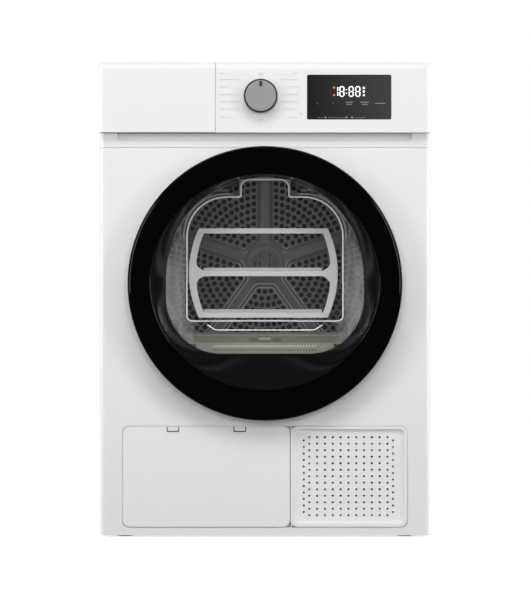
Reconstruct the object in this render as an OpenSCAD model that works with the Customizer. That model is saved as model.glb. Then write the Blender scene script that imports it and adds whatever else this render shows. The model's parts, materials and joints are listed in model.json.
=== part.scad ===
// Front-loading tumble dryer with a heat pump, a round door and a water tank drawer.
// X runs to the right, Y to the back and Z up. The origin is on the floor below the middle.

/* [Cabinet] */
// Overall width
cabinet_w = 592; // [585:1:720]
// Overall height from the floor to the lid
cabinet_h = 850; // [848:1:1020]
// Overall depth from the door's face to the rear duct cover
overall_d = 610; // [590:1:732]
// Gap under the cabinet that shows the feet
foot_gap = 4; // [3:0.5:8]
// Thickness of the sheet steel
sheet_t = 1; // [0.6:0.1:1.5]
// Radius of the upright front edges
edge_r = 9; // [5:0.5:14]
// Height of the lid
lid_h = 22; // [16:1:28]
// Width of the seams between the outer panels
seam = 0.6; // [0.4:0.1:1.2]

/* [Control panel] */
// Height of the moulding, strip included
panel_h = 152; // [150:1:182]
// Height of the strip that holds the finger recess
strip_h = 26; // [24:1:30]
// How far the panel stands in front of the cabinet
panel_proud = 18; // [12:1:24]
// Wall of the moulding
panel_wall = 2.5; // [2:0.25:3.5]
// Radius of the panel's top front edge
panel_top_r = 14; // [6:1:20]
// Width of the finger recess
recess_w = 528; // [400:1:540]
// Height of the finger recess
recess_h = 14; // [10:1:18]
// Width and height of the display window
display_size = [150.5, 80]; // [100:1:170]
// Place of the display's centre, right of the cabinet's centre
display_x = 150.2; // [140:1:170]
// Diameter of a key
key_d = 15; // [10:0.5:18]
// Distance between two keys
key_pitch = 27.6; // [20:0.2:28]
// Travel of a key
key_travel = 1; // [0.5:0.1:1.5]

/* [Program knob] */
// Diameter of the knob's rim
knob_d = 60; // [48:1:72]
// Height of the knob above the panel
knob_h = 22; // [14:1:24]
// Place of the knob, left of the cabinet's centre
knob_x = 7.5; // [0:0.5:12]

/* [Water tank] */
// Width of the tank drawer's front
tank_front_w = 207.5; // [190:0.5:230]
// Height of the tank
tank_h = 58; // [40:1:60]
// Length of the tank
tank_len = 430; // [300:1:440]
// Wall of the tank
tank_wall = 2; // [1.5:0.25:3]

/* [Door] */
// Diameter of the door
door_d = 488; // [470:1:500]
// Height of the door's centre above the floor
door_z = 455; // [440:1:460]
// Thickness of the door in front of the cabinet
door_h = 43; // [40:1:48]
// Radius of the ring's inner edge
ring_in_r = 200; // [196:1:206]
// Wall of the ring
ring_wall = 3; // [2.5:0.25:3.5]
// Radius of the window's arch
window_r = 179; // [165:1:182]
// Radius of the window's lower corners
window_corner_r = 100; // [60:1:110]
// Depth of the clear bowl
bowl_depth = 45; // [30:1:46]
// Wall of the clear bowl
bowl_wall = 3; // [2:0.5:4]

/* [Drum] */
// Outer radius of the drum
drum_r = 275; // [250:1:276]
// Height of the drum's axis above the floor
drum_z = 490; // [486:1:495]
// Height of a lifter
lifter_h = 52; // [30:1:70]
// Diameter of the drum's shaft
shaft_d = 25; // [18:1:32]
// Diameter of the holes in the drum's back
back_hole_d = 8; // [4:0.5:10]
// Radius of a support roller
roller_r = 20; // [14:1:24]

/* [Service flap and grille] */
// Distance from the plinth opening to the cabinet's side
plinth_margin = 40.6; // [34:0.2:50]
// Lower edge of the plinth opening above the floor
plinth_z0 = 18.4; // [16:0.2:20]
// Height of the plinth opening
plinth_h = 181.2; // [160:0.2:182]
// Width of the flap
flap_w = 300.6; // [280:0.2:310]
// Radius of the flap's corners
flap_corner_r = 12.5; // [6:0.5:16]
// Diameter of the grille's holes
grille_hole_d = 4; // [2.5:0.25:5]
// Columns and rows of holes in the grille
grille_count = [11, 13]; // [4:1:15]

/* [Heat pump and drive] */
// Radius of the compressor
compressor_r = 56; // [45:1:60]
// Radius of the motor
motor_r = 56; // [45:1:60]
// Radius of the motor's pulley
pulley_r = 6; // [5.5:0.5:9]
// Width of the belt
belt_w = 12; // [8:1:16]
// Radius of the blower wheel
blower_r = 66; // [50:1:70]
// Radius of the cooling fan
fan_r = 52; // [40:1:56]

/* [Hidden] */
$fn = 64;

// Small distances that many pieces share
overlap = 0.01;
gap = 0.5;
run_gap = 0.05;
fit_gap = 0.02;

// Main planes of the cabinet
half_w = cabinet_w / 2;
duct_cover_h = 16;
front_y = -overall_d / 2 + door_h;
rear_y = overall_d / 2 - duct_cover_h;
panel_y = front_y - panel_proud;
lid_z0 = cabinet_h - lid_h;
body_z0 = foot_gap;
strip_z0 = cabinet_h - panel_h;
face_z0 = strip_z0 + strip_h;
panel_back_y = front_y + 7.5;
wrap_y = front_y + 22;

// Draws a flat outline in X and Z and gives it depth from y0, the front, to y1, the back
module slab(y0, y1)
    translate([0, y1, 0]) rotate([90, 0, 0]) linear_extrude(y1 - y0) children();

// Turns a section about an axis along Y: r outwards, h forwards from y_back
module turned(x, z, y_back)
    translate([x, y_back, z]) rotate([90, 0, 0]) rotate_extrude($fn = 96) children();

// Draws a section in Y and Z and gives it length from x0 to x1
module beam_x(x0, x1)
    translate([x0, 0, 0]) rotate([90, 0, 90]) linear_extrude(x1 - x0) children();

module block(low, high)
    translate(low) cube(high - low);

module rod_x(y, z, x0, x1, r)
    translate([x0, y, z]) rotate([0, 90, 0]) cylinder(h = x1 - x0, r = r);

module rod_y(x, z, y0, y1, r)
    translate([x, y1, z]) rotate([90, 0, 0]) cylinder(h = y1 - y0, r = r);

module rod_z(x, y, z0, z1, r)
    translate([x, y, z0]) cylinder(h = z1 - z0, r = r);

// Rectangle with round corners between two opposite corners
module round_rect(low, high, r) {
    size = high - low;
    translate([low[0] + r, low[1]]) square([size[0] - 2 * r, size[1]]);
    translate([low[0], low[1] + r]) square([size[0], size[1] - 2 * r]);
    for (x = [low[0] + r, high[0] - r], z = [low[1] + r, high[1] - r])
        translate([x, z]) circle(r = r, $fn = 32);
}

// ---------------------------------------------------------------- cabinet

side_y0 = wrap_y + seam;
side_y1 = rear_y - sheet_t - fit_gap;
flange = 18;
tray_wall = 3;
tray_x = half_w - flange / 2 - 1;
tray_y0 = front_y + 20;
tray_y1 = rear_y - sheet_t - 3;
tray_z0 = foot_gap + 2;
tray_h = 62;

// Feet stand under the four corners of the tray
foot_x = half_w - 44;
foot_y = [front_y + 39, rear_y - 49];
foot_r = 16;
foot_h = 8;
bolt_r = 4;
bolt_h = 42;
boss_r = 10;
foot_cup_t = 2;
boss_z0 = foot_h + gap + 1;
boss_z1 = 40;
foot_places = [for (x = [-foot_x, foot_x], y = foot_y) [x, y]];

// Places that several groups share
blower_x = 172;
blower_z = 132;
exchanger_x0 = -half_w + 68;
exchanger_x1 = 36;
exchanger_y = [front_y + 23, front_y + 318];
exchanger_z0 = tray_z0 + tray_wall + 0.5;
exchanger_z1 = 199;
access_x = [exchanger_x0 + 11, exchanger_x1 - 10];
access_z = [32, 184];
screw_r = 2;
screw_inset = 9;
screw_rows = 5;
rear_screw_z = [for (i = [0 : screw_rows - 1]) 40 + i * (lid_z0 - 80) / (screw_rows - 1)];
door_r = door_d / 2;
hinge_x = -door_r + 12;
hinge_h = 22;
pin_r = 3;
ear_mid = 42;
ear_t = 6;
ear_w = 5;
knob_shaft_r = 3;
tank_x = [-half_w + 10, -half_w + tank_front_w - 15];
tank_y = [panel_back_y - 2, panel_back_y - 2 + tank_len];
tank_z1 = lid_z0 - 11;
tank_z0 = tank_z1 - tank_h;
sleeve_wall = 2;
sleeve_gap = 1;
window_z = door_z + 11.5;
window_drop = 137.5;
hose_r = 6;

module base_tray() color("dimgray") difference() {
    union() {
        difference() {
            block([-tray_x, tray_y0, tray_z0], [tray_x, tray_y1, tray_z0 + tray_h]);
            block([-tray_x + tray_wall, tray_y0 + tray_wall, tray_z0 + tray_wall],
                  [tray_x - tray_wall, tray_y1 - tray_wall, tray_z0 + tray_h + 1]);
        }
        for (p = foot_places) {
            rod_z(p[0], p[1], tray_z0, boss_z0 + tray_wall, foot_r + 2 + foot_cup_t);
            rod_z(p[0], p[1], boss_z0, boss_z1, boss_r);
        }
        // wall between the air channel and the machine space
        block([exchanger_x1 + gap, tray_y0 + 1, tray_z0 + 1],
              [exchanger_x1 + gap + tray_wall, tray_y1 - 1, tray_z0 + tray_h]);
    }
    // way in for the access cover
    block([access_x[0], tray_y0 - 1, access_z[0]], [access_x[1], tray_y0 + tray_wall, tray_z0 + tray_h + 1]);
    for (p = foot_places) {
        rod_z(p[0], p[1], tray_z0 - 1, boss_z0, foot_r + 2);
        rod_z(p[0], p[1], tray_z0, boss_z1 + 1, bolt_r + run_gap);
    }
}

// A side panel with its flanges turned inwards; side is -1 or 1
module side_panel(side) color("white") mirror([side < 0 ? 1 : 0, 0, 0]) difference() {
    union() {
        block([half_w - sheet_t, side_y0, body_z0], [half_w, side_y1, lid_z0 - seam]);
        block([half_w - sheet_t, panel_back_y + seam, face_z0 + seam], [half_w, side_y0 + 1, lid_z0 - seam]);
        block([half_w - flange, side_y0 + 2, lid_z0 - seam - sheet_t],
              [half_w - overlap, side_y1, lid_z0 - seam]);
        block([half_w - flange, side_y1 - sheet_t, body_z0], [half_w - overlap, side_y1, lid_z0 - seam]);
        block([half_w - flange / 2, side_y0, body_z0], [half_w - overlap, side_y0 + sheet_t, strip_z0]);
    }
    for (z = rear_screw_z)
        rod_y(half_w - screw_inset, z, side_y1 - 5, side_y1 + 5, screw_r + fit_gap);
}

module side_panels() {
    side_panel(-1);
    side_panel(1);
}

cover_r = drum_r - 13;
cover_flange = 10;
cover_screws = 8;
cover_screw_r = cover_r + cover_flange / 2;
cover_screw_angle = 22.5;
rear_window_r = cover_r - 24;
hub_r = 60;
bearing_r = shaft_d / 2 + 5.5;
spoke_w = 34;
vent_count = 8;
vent_size = [90, 5];

// Neck of the duct that brings air up from the blower
neck_x = [blower_x + 25, blower_x + 92];
neck_z0 = blower_z + 42;

module rear_windows() translate([0, drum_z]) difference() {
    circle(r = rear_window_r, $fn = 96);
    circle(r = hub_r);
    for (a = [45, 135]) rotate(a) square([2 * cover_r, spoke_w], center = true);
}

module rear_panel() color("gainsboro") difference() {
    union() {
        slab(rear_y - sheet_t, rear_y)
            translate([-half_w + 1.5, body_z0]) square([cabinet_w - 3, lid_z0 - seam - body_z0]);
        rod_y(0, drum_z, rear_y - 12, rear_y + 9, bearing_r + 7);
    }
    slab(rear_y - sheet_t - 1, rear_y + 1) rear_windows();
    slab(rear_y - sheet_t - 1, rear_y + 1)
        translate([neck_x[0] + 4, neck_z0 + 6]) square([neck_x[1] - neck_x[0] - 8, 50]);
    rod_y(0, drum_z, rear_y - 13, rear_y + 10, bearing_r + fit_gap);
    for (x = [-half_w + screw_inset, half_w - screw_inset], z = rear_screw_z)
        rod_y(x, z, rear_y - 2, rear_y + 1, screw_r + fit_gap);
    for (i = [0 : cover_screws - 1])
        rotate_cover_screw(i) rod_y(cover_screw_r, 0, rear_y - 2, rear_y + 1, screw_r + fit_gap);
    for (i = [0 : vent_count - 1])
        block([-230, rear_y - 2, 50 + 12 * i], [-230 + vent_size[0], rear_y + 1, 50 + 12 * i + vent_size[1]]);
    rod_y(inlet_x, inlet_z, rear_y - 2, rear_y + 1, inlet_r);
}

inlet_x = -half_w + 60;
inlet_z = lid_z0 - 30;
inlet_r = 9;

module rotate_cover_screw(i)
    translate([0, 0, drum_z]) rotate([0, cover_screw_angle + i * 360 / cover_screws, 0]) children();

module cover_outline(inset) {
    translate([0, drum_z]) circle(r = cover_r - inset, $fn = 96);
    round_rect([neck_x[0] + inset, neck_z0 + inset], [neck_x[1] - inset, drum_z], 10);
}

module rear_duct_cover() color("silver") difference() {
    union() {
        slab(rear_y, rear_y + duct_cover_h) cover_outline(0);
        slab(rear_y, rear_y + 1.5) translate([0, drum_z]) circle(r = cover_r + cover_flange, $fn = 96);
    }
    slab(rear_y - 1, rear_y + duct_cover_h - 2) cover_outline(2);
    for (i = [0 : cover_screws - 1])
        rotate_cover_screw(i) rod_y(cover_screw_r, 0, rear_y - 2, rear_y + 3, screw_r + fit_gap);
}

// One screw with its head behind the panel at y
module screw(y) {
    rod_y(0, 0, y - 4, y + 0.5, screw_r);
    rod_y(0, 0, y, y + 2, 2 * screw_r);
}

module screws() color("silver") {
    for (x = [-half_w + screw_inset, half_w - screw_inset], z = rear_screw_z)
        translate([x, 0, z]) screw(rear_y);
    for (i = [0 : cover_screws - 1])
        rotate_cover_screw(i) translate([cover_screw_r, 0, 0]) screw(rear_y + 1.5);
}

lid_y0 = panel_back_y + seam;
lid_r = 4;

module lid_section(inset)
    round_rect([-half_w + inset, lid_z0 + (inset > 0 ? -lid_r - 1 : 0)],
               [half_w - inset, cabinet_h - inset], lid_r);

module top_panel() color("white") difference() {
    slab(lid_y0, rear_y) lid_section(0);
    slab(lid_y0 + 1.5, rear_y - 1.5) lid_section(1.5);
}

// Plan of the cabinet's front, with its round upright edges, moved inwards by inset
module plan_front(y, inset, depth) {
    r = edge_r - inset;
    translate([-half_w + edge_r, y + inset]) square([cabinet_w - 2 * edge_r, depth - inset]);
    translate([-half_w + inset, y + edge_r]) square([cabinet_w - 2 * inset, depth - edge_r]);
    for (x = [-half_w + edge_r, half_w - edge_r]) translate([x, y + edge_r]) circle(r = r, $fn = 32);
}

plinth_x = half_w - plinth_margin;
plinth_z1 = plinth_z0 + plinth_h;
mouth_r = ring_in_r;
latch_x = ring_in_r + 21;

module front_panel() color("white") difference() {
    union() {
        translate([0, 0, body_z0]) linear_extrude(strip_z0 - seam - body_z0) difference() {
            plan_front(front_y, 0, wrap_y - front_y);
            plan_front(front_y, sheet_t, wrap_y - front_y + 1);
        }
        rod_y(0, door_z, front_y + 0.2, front_y + 12, mouth_r + sheet_t);
    }
    rod_y(0, door_z, front_y - 1, front_y + 13, mouth_r);
    slab(front_y - 1, front_y + sheet_t + 1)
        round_rect([-plinth_x, plinth_z0 - 0.8], [plinth_x, plinth_z1], flap_corner_r);
    for (side = [-1, 1])
        block([hinge_x - ear_w - 1, front_y - 1, door_z + side * ear_mid - ear_t / 2 - 0.5],
              [hinge_x + ear_w + 1, front_y + 3, door_z + side * ear_mid + ear_t / 2 + 0.5]);
    block([latch_x - 5, front_y - 1, door_z - 9], [latch_x + 8, front_y + 3, door_z + 9]);
}

// ---------------------------------------------------------------- control panel

split_x = -half_w + tank_front_w;
knob_z = face_z0 + 64.4;
display_z = face_z0 + 63;
display_t = 3;
keys_z = display_z - 23.2;
key_h = 4;
board_y = panel_y + 20;

// Section of the panel in Y and Z, moved inwards by inset
module panel_section(inset) intersection() {
    z0 = face_z0 + inset;
    z1 = cabinet_h - inset;
    union() {
        translate([panel_y + inset, z0]) square([60, cabinet_h - panel_top_r - z0]);
        translate([panel_y + panel_top_r, z0]) square([60, z1 - z0]);
        translate([panel_y + panel_top_r, cabinet_h - panel_top_r]) circle(r = panel_top_r - inset, $fn = 48);
    }
    translate([panel_y, z0]) square([panel_back_y - panel_y, z1 - z0]);
}

// The upper, prouder block of the panel between x0 and x1
module panel_block(inset, x0, x1, back) intersection() {
    beam_x(x0, x1) union() {
        panel_section(inset);
        translate([panel_back_y - 1, face_z0 + inset]) square([back + 1, panel_h - strip_h - 2 * inset]);
    }
    translate([0, 0, face_z0]) linear_extrude(panel_h) plan_front(panel_y, inset, 60);
}

module control_panel() color("white") difference() {
    union() {
        panel_block(0, split_x + seam, half_w, 0);
        intersection() {
            block([-half_w, front_y, strip_z0], [half_w, wrap_y, face_z0]);
            translate([0, 0, strip_z0]) linear_extrude(panel_h) plan_front(front_y, 0, 60);
        }
    }
    panel_block(panel_wall, split_x + seam + panel_wall, half_w - panel_wall, 5);
    // finger recess, open at the bottom of the upper block
    slab(front_y - 1, front_y + 15) {
        translate([-recess_w / 2, face_z0 - recess_h + 6]) square([recess_w, recess_h - 6]);
        translate([-recess_w / 2 + 6, face_z0 - recess_h]) square([recess_w - 12, recess_h]);
        for (side = [-1, 1])
            translate([side * (recess_w / 2 - 6), face_z0 - recess_h + 6]) circle(r = 6, $fn = 32);
    }
    slab(panel_y - 1, panel_y + panel_wall + 1) {
        round_rect([display_x - display_size[0] / 2, display_z - display_size[1] / 2],
                   [display_x + display_size[0] / 2, display_z + display_size[1] / 2], 3);
        translate([-knob_x, knob_z]) circle(r = knob_shaft_r + gap);
    }
}

module display_window() color("black") difference() {
    union() {
        slab(panel_y + 0.1, panel_y + display_t)
            round_rect([display_x - display_size[0] / 2 + 0.2, display_z - display_size[1] / 2 + 0.2],
                       [display_x + display_size[0] / 2 - 0.2, display_z + display_size[1] / 2 - 0.2], 2.8);
        slab(panel_y + panel_wall + fit_gap, panel_y + display_t + 1.5)
            round_rect([display_x - display_size[0] / 2 - 2, display_z - display_size[1] / 2 - 2],
                       [display_x + display_size[0] / 2 + 2, display_z + display_size[1] / 2 + 2], 3);
    }
    for (i = [-2 : 2])
        rod_y(display_x + i * key_pitch, keys_z, panel_y - 1, panel_y + 10, key_d / 2 + 0.3);
}

module key(i) color("black")
    translate([display_x + i * key_pitch, 0, keys_z]) {
        rod_y(0, 0, panel_y - key_travel, panel_y - key_travel + key_h, key_d / 2);
        rod_y(0, 0, panel_y - key_travel + key_h - overlap, board_y - key_travel - gap, 2);
    }

module key_1() key(-2);
module key_2() key(-1);
module key_3() key(0);
module key_4() key(1);
module key_5() key(2);

encoder_r = 9;

module control_board() color("darkgreen") difference() {
    union() {
        block([-knob_x - 30, board_y, display_z - 42], [display_x + 80, board_y + 1.6, display_z + 42]);
        rod_y(-knob_x, knob_z, board_y - 10, board_y + overlap, encoder_r);
        block([display_x - 40, board_y + 1.5, display_z - 5], [display_x + 30, board_y + 9, display_z + 35]);
    }
    rod_y(-knob_x, knob_z, board_y - 12, board_y + 2.6, knob_shaft_r + run_gap);
}

knob_base_gap = 1;
knob_wall = 2.5;

module program_knob() color("dimgray") difference() {
    union() {
        turned(-knob_x, knob_z, panel_y - knob_base_gap) {
            square([knob_d / 2 - 1.5, knob_h - knob_base_gap - 1]);
            square([knob_d / 2, knob_h - knob_base_gap - 2.5]);
            translate([knob_d / 2 - 1.5, knob_h - knob_base_gap - 2.5]) circle(r = 1.5, $fn = 24);
        }
        rod_y(-knob_x, knob_z, panel_y - knob_base_gap - 1, board_y - 2, knob_shaft_r);
    }
    difference() {
        rod_y(-knob_x, knob_z, panel_y - knob_h + knob_wall + 3, panel_y, knob_d / 2 - knob_wall);
        rod_y(-knob_x, knob_z, panel_y - knob_h, panel_y + 1, knob_shaft_r);
    }
}

// ---------------------------------------------------------------- water tank

fill_r = 14;
fill_x = tank_x[0] + 60;
fill_y = tank_y[1] - 50;

module tank_front() color("white") difference() {
    panel_block(0, -half_w, split_x, 0);
    difference() {
        panel_block(panel_wall, -half_w + panel_wall, split_x - panel_wall, 5);
        block([-half_w, panel_back_y - 4.5, face_z0], [split_x, panel_back_y - 2, cabinet_h]);
    }
    block([-half_w - 1, panel_y - 1, face_z0 - 1], [split_x + 1, panel_back_y + 10, face_z0 + seam]);
}

module water_tank() color("lightgray") difference() {
    block([tank_x[0], tank_y[0], tank_z0], [tank_x[1], tank_y[1], tank_z1]);
    block([tank_x[0] + tank_wall, tank_y[0] + tank_wall, tank_z0 + tank_wall],
          [tank_x[1] - tank_wall, tank_y[1] - tank_wall, tank_z1 - tank_wall]);
    rod_z(fill_x, fill_y, tank_z1 - tank_wall - 1, tank_z1 + 1, fill_r);
}

sleeve_x = [tank_x[0] - sleeve_gap - sleeve_wall, tank_x[1] + sleeve_gap + sleeve_wall];
sleeve_y = [front_y + 14, tank_y[1] + 6];
sleeve_z = [tank_z0 - 0.3 - sleeve_wall, tank_z1 + sleeve_gap + sleeve_wall];

module tank_sleeve() color("dimgray") difference() {
    block([sleeve_x[0], sleeve_y[0], sleeve_z[0]], [sleeve_x[1], sleeve_y[1], sleeve_z[1]]);
    block([tank_x[0] - sleeve_gap, sleeve_y[0] - 1, tank_z0 - 0.3],
          [tank_x[1] + sleeve_gap, tank_y[1] + 2, tank_z1 + sleeve_gap]);
    rod_z(fill_x, fill_y, tank_z1, sleeve_z[1] + 1, hose_r + 0.1);
}

// ---------------------------------------------------------------- door

ring_back = 3;
flange_h = [ring_back, ring_back + 3];
plug_r = ring_in_r - 4;
plug_back = 8;
funnel_wall = 3;
leaf_half = 38;
leaf_r = 5.5;

// Moves drawings of (r, h) with h in front of the cabinet to the door's axis
module on_door() turned(0, door_z, front_y) children();

// The window's outline: an arch above, a flat sill below with round corners
module window(grow) {
    r = window_r + grow;
    c = window_corner_r + grow;
    z0 = window_z - window_drop - grow;
    corner_x = window_r - window_corner_r;
    corner_z = window_z - window_drop + window_corner_r;
    intersection() {
        translate([0, window_z]) circle(r = r, $fn = 96);
        translate([-r, window_z - 1]) square([2 * r, r + 1]);
    }
    translate([-corner_x, z0]) square([2 * corner_x, window_drop]);
    translate([-r, corner_z]) square([2 * r, window_drop - window_corner_r]);
    for (side = [-1, 1]) translate([side * corner_x, corner_z]) circle(r = c, $fn = 64);
}

module ring_section() difference() {
    union() {
        translate([ring_in_r, ring_back]) square([door_r - ring_in_r - 6, door_h - ring_back]);
        translate([ring_in_r, ring_back]) square([door_r - ring_in_r, door_h - ring_back - 6]);
        translate([door_r - 6, door_h - 6]) circle(r = 6, $fn = 32);
    }
    translate([ring_in_r + ring_wall, 0])
        square([door_r - ring_in_r - 2 * ring_wall, door_h - ring_wall]);
    translate([ring_in_r - 1, 0]) square([ring_wall + 2, door_h - 13]);
    polygon([[door_r + 1, 0], [door_r + 1, ring_back + 5], [door_r - 4, ring_back], [door_r - 5, 0]]);
}

module door_ring() color("black") difference() {
    on_door() ring_section();
    for (side = [-1, 1])
        block([-door_r - 1, front_y - door_h + 7, door_z + side * ear_mid - ear_t / 2 - 1],
              [-door_r + ring_wall + 6, front_y, door_z + side * ear_mid + ear_t / 2 + 1]);
}

// Solid that narrows from the ring to the window; grow makes it wider all round
module funnel_form(grow) hull() {
    slab(front_y + plug_back, front_y + plug_back + 1) window(grow);
    rod_y(0, door_z, front_y - door_h + 2, front_y - door_h + 4, ring_in_r - 3 + grow);
}

module door_funnel() color("dimgray") difference() {
    union() {
        intersection() {
            funnel_form(funnel_wall);
            rod_y(0, door_z, front_y - door_h + 5, front_y + plug_back, ring_in_r - 0.3);
        }
        // plug that fits the cabinet's mouth, and its floor around the window
        rod_y(0, door_z, front_y - flange_h[1], front_y + plug_back, plug_r);
        rod_y(0, door_z, front_y - flange_h[1], front_y - flange_h[0], door_r - ring_wall - 0.2);
    }
    // hollow between the plug and the funnel, open towards the ring
    difference() {
        rod_y(0, door_z, front_y - flange_h[1] - 1, front_y + plug_back - funnel_wall, plug_r - funnel_wall);
        funnel_form(funnel_wall);
    }
    funnel_form(0);
    // room behind the ring for the hinge
    block([-door_r, front_y - 20, door_z - 50], [hinge_x + 16, front_y, door_z + 50]);
}

module door_seal() color("dimgray") on_door() difference() {
    translate([plug_r + 10, 0.5]) square([8, ring_back - 0.5]);
    translate([plug_r + 12, 0]) square([4, 1.5]);
}

bowl_front_y = front_y + plug_back + 3;
bowl_rear_y = bowl_front_y + bowl_depth;
bowl_half = 143;
bowl_z = [window_z - window_drop + 56, window_z + 147];

module bowl_rear(grow) {
    round_rect([-bowl_half - grow, bowl_z[0] - grow], [bowl_half + grow, bowl_z[1] - 80], 10 + grow);
    round_rect([-bowl_half - grow, bowl_z[0] + 80], [bowl_half + grow, bowl_z[1] + grow], 73 + grow);
}

// Body that tapers from the window to the bowl's rear face
module bowl_form(grow, y0, y1) hull() {
    slab(y0, y0 + 0.5) window(grow);
    slab(y1 - 0.5, y1) bowl_rear(grow);
}

module door_bowl() color("lightblue") difference() {
    union() {
        slab(front_y + plug_back, bowl_front_y) window(8);
        bowl_form(2, bowl_front_y - 0.5, bowl_rear_y);
    }
    bowl_form(2 - bowl_wall, front_y + plug_back - 0.5, bowl_rear_y - bowl_wall);
    slab(front_y + plug_back - 1, bowl_front_y + 1) window(2 - bowl_wall);
}

guard_t = 8;
guard_bar = 9.6;
guard_z = [bowl_z[0] + 7, bowl_z[0] + 169];
guard_mid_z = bowl_z[0] + 87;
guard_half = 135;
guard_corner_half = 117;
guard_y1 = bowl_rear_y - bowl_wall;

// Barrel outline: two flat ends joined by arcs that bulge to the middle
module barrel(half, corner_half, z0, z1) {
    rise = (z1 - z0) / 2;
    sag = half - corner_half;
    r = (rise * rise + sag * sag) / (2 * sag);
    intersection() {
        translate([half - r, (z0 + z1) / 2]) circle(r = r, $fn = 128);
        translate([r - half, (z0 + z1) / 2]) circle(r = r, $fn = 128);
        translate([-half, z0]) square([2 * half, z1 - z0]);
    }
}

module bowl_guard() color("silver") slab(guard_y1 - guard_t, guard_y1) difference() {
    barrel(guard_half, guard_corner_half, guard_z[0], guard_z[1]);
    difference() {
        barrel(guard_half - 12, guard_corner_half - 12, guard_z[0], guard_z[1]);
        translate([-guard_half, guard_z[0] - 1]) square([2 * guard_half, guard_bar + 1]);
        translate([-guard_half, guard_z[1] - guard_bar]) square([2 * guard_half, guard_bar + 1]);
        translate([-guard_half, guard_mid_z - guard_bar / 2]) square([2 * guard_half, guard_bar]);
    }
}

module hinge_leaf() color("silver") difference() {
    union() {
        rod_z(hinge_x, front_y - hinge_h, door_z - leaf_half, door_z + leaf_half, leaf_r);
        block([hinge_x, front_y - hinge_h - leaf_r, door_z - leaf_half],
              [-ring_in_r + 8, front_y - hinge_h - leaf_r + 3, door_z + leaf_half]);
    }
    rod_z(hinge_x, front_y - hinge_h, door_z - leaf_half - 1, door_z + leaf_half + 1, pin_r + run_gap);
    rod_y(0, door_z, front_y - door_h, front_y, ring_in_r - 0.2);
}

module hinge_bracket() color("silver") difference() {
    union() {
        for (side = [-1, 1]) translate([0, 0, door_z + side * ear_mid - ear_t / 2]) {
            rod_z(hinge_x, front_y - hinge_h, 0, ear_t, ear_w);
            block([hinge_x - ear_w, front_y - hinge_h, 0], [hinge_x + ear_w, front_y + sheet_t + 1, ear_t]);
        }
        block([hinge_x - 14, front_y + sheet_t, door_z - 60],
              [hinge_x + 14, front_y + sheet_t + 3, door_z + 60]);
    }
    rod_z(hinge_x, front_y - hinge_h, door_z - 60, door_z + 60, pin_r + fit_gap);
}

module hinge_pin() color("silver")
    rod_z(hinge_x, front_y - hinge_h,
          door_z - ear_mid - ear_t / 2 - 1, door_z + ear_mid + ear_t / 2 + 1, pin_r);

module latch_hook() color("silver") {
    block([latch_x - 3, front_y - flange_h[0], door_z - 6], [latch_x + 3, front_y + 16, door_z + 6]);
    block([latch_x - 3, front_y + 10, door_z - 6], [latch_x + 4.5, front_y + 16, door_z + 6]);
}

module door_latch() color("dimgray") difference() {
    block([latch_x - 12, front_y + sheet_t, door_z - 20], [latch_x + 16, front_y + 23, door_z + 20]);
    block([latch_x - 6, front_y, door_z - 10], [latch_x + 10, front_y + 19, door_z + 10]);
}

// ---------------------------------------------------------------- drum and its supports

bulkhead_y = [front_y + 26, front_y + 30];
collar_r = drum_r - 13;
collar_wall = 6;
collar_y1 = front_y + 90;
drum_y0 = front_y + 80;
drum_y1 = rear_y - 31;
drum_t = 1;
back_y = drum_y1 - 4;
filter_y = [front_y + 60, front_y + 78];
filter_z1 = window_z - window_drop + 32;
pocket_y = [front_y + 82, front_y + 85];
duct_x = [-133, exchanger_x1 - 6];

module front_bulkhead() color("gainsboro") difference() {
    union() {
        slab(bulkhead_y[0], bulkhead_y[1])
            round_rect([-half_w + 11, 208], [half_w - 11, sleeve_z[0] - 6], 20);
        rod_y(0, drum_z, bulkhead_y[0], collar_y1, collar_r);
        block([duct_x[0], bulkhead_y[0], exchanger_z1 + 0.3], [duct_x[1], drum_y0 - 2, 265]);
        for (side = [-1, 1])
            rod_y(side * roller_x, roller_z, bulkhead_y[1] - 1, roller_y0 + roller_w + 4, axle_r);
    }
    difference() {
        rod_y(0, drum_z, bulkhead_y[1], collar_y1 + 1, collar_r - collar_wall);
        slab(pocket_y[0], pocket_y[1])
            translate([-drum_r, 0]) square([2 * drum_r, filter_z1 + 4]);
        for (side = [-1, 1]) mirror([side < 0 ? 1 : 0, 0, 0])
            block([135, bulkhead_y[1] - 1, 0], [138, pocket_y[1], filter_z1 - 20]);
    }
    slab(bulkhead_y[0] - 1, bulkhead_y[1] + 1) window(6);
    block([duct_x[0] + 3, bulkhead_y[1], 200], [duct_x[1] - 3, drum_y0 - 5, 262]);
}

module felt_seals() color("linen") {
    turned(0, drum_z, collar_y1 - 1)
        translate([collar_r + fit_gap, 0]) square([drum_r - 8.4 - collar_r, 8]);
    turned(0, drum_z, rear_y - sheet_t - fit_gap)
        translate([rear_window_r + 6, 0]) square([14, rear_y - sheet_t - drum_y1 - 0.4]);
}

roller_angle = 35;
roller_dist = drum_r + roller_r + 0.3;
roller_x = roller_dist * sin(roller_angle);
roller_z = drum_z - roller_dist * cos(roller_angle);
roller_w = 18;
roller_y0 = drum_y0 + 4;
axle_r = 4;

module support_roller(side) color("dimgray") difference() {
    rod_y(side * roller_x, roller_z, roller_y0, roller_y0 + roller_w, roller_r);
    rod_y(side * roller_x, roller_z, roller_y0 - 1, roller_y0 + roller_w + 1, axle_r + run_gap);
    for (i = [0 : 5]) translate([side * roller_x, 0, roller_z]) rotate([0, 60 * i, 0])
        rod_y(11, 0, roller_y0 - 1, roller_y0 + roller_w + 1, 3.5);
}

module support_roller_left() support_roller(-1);
module support_roller_right() support_roller(1);

filter_half = 131;
filter_top_half = 142;

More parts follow.
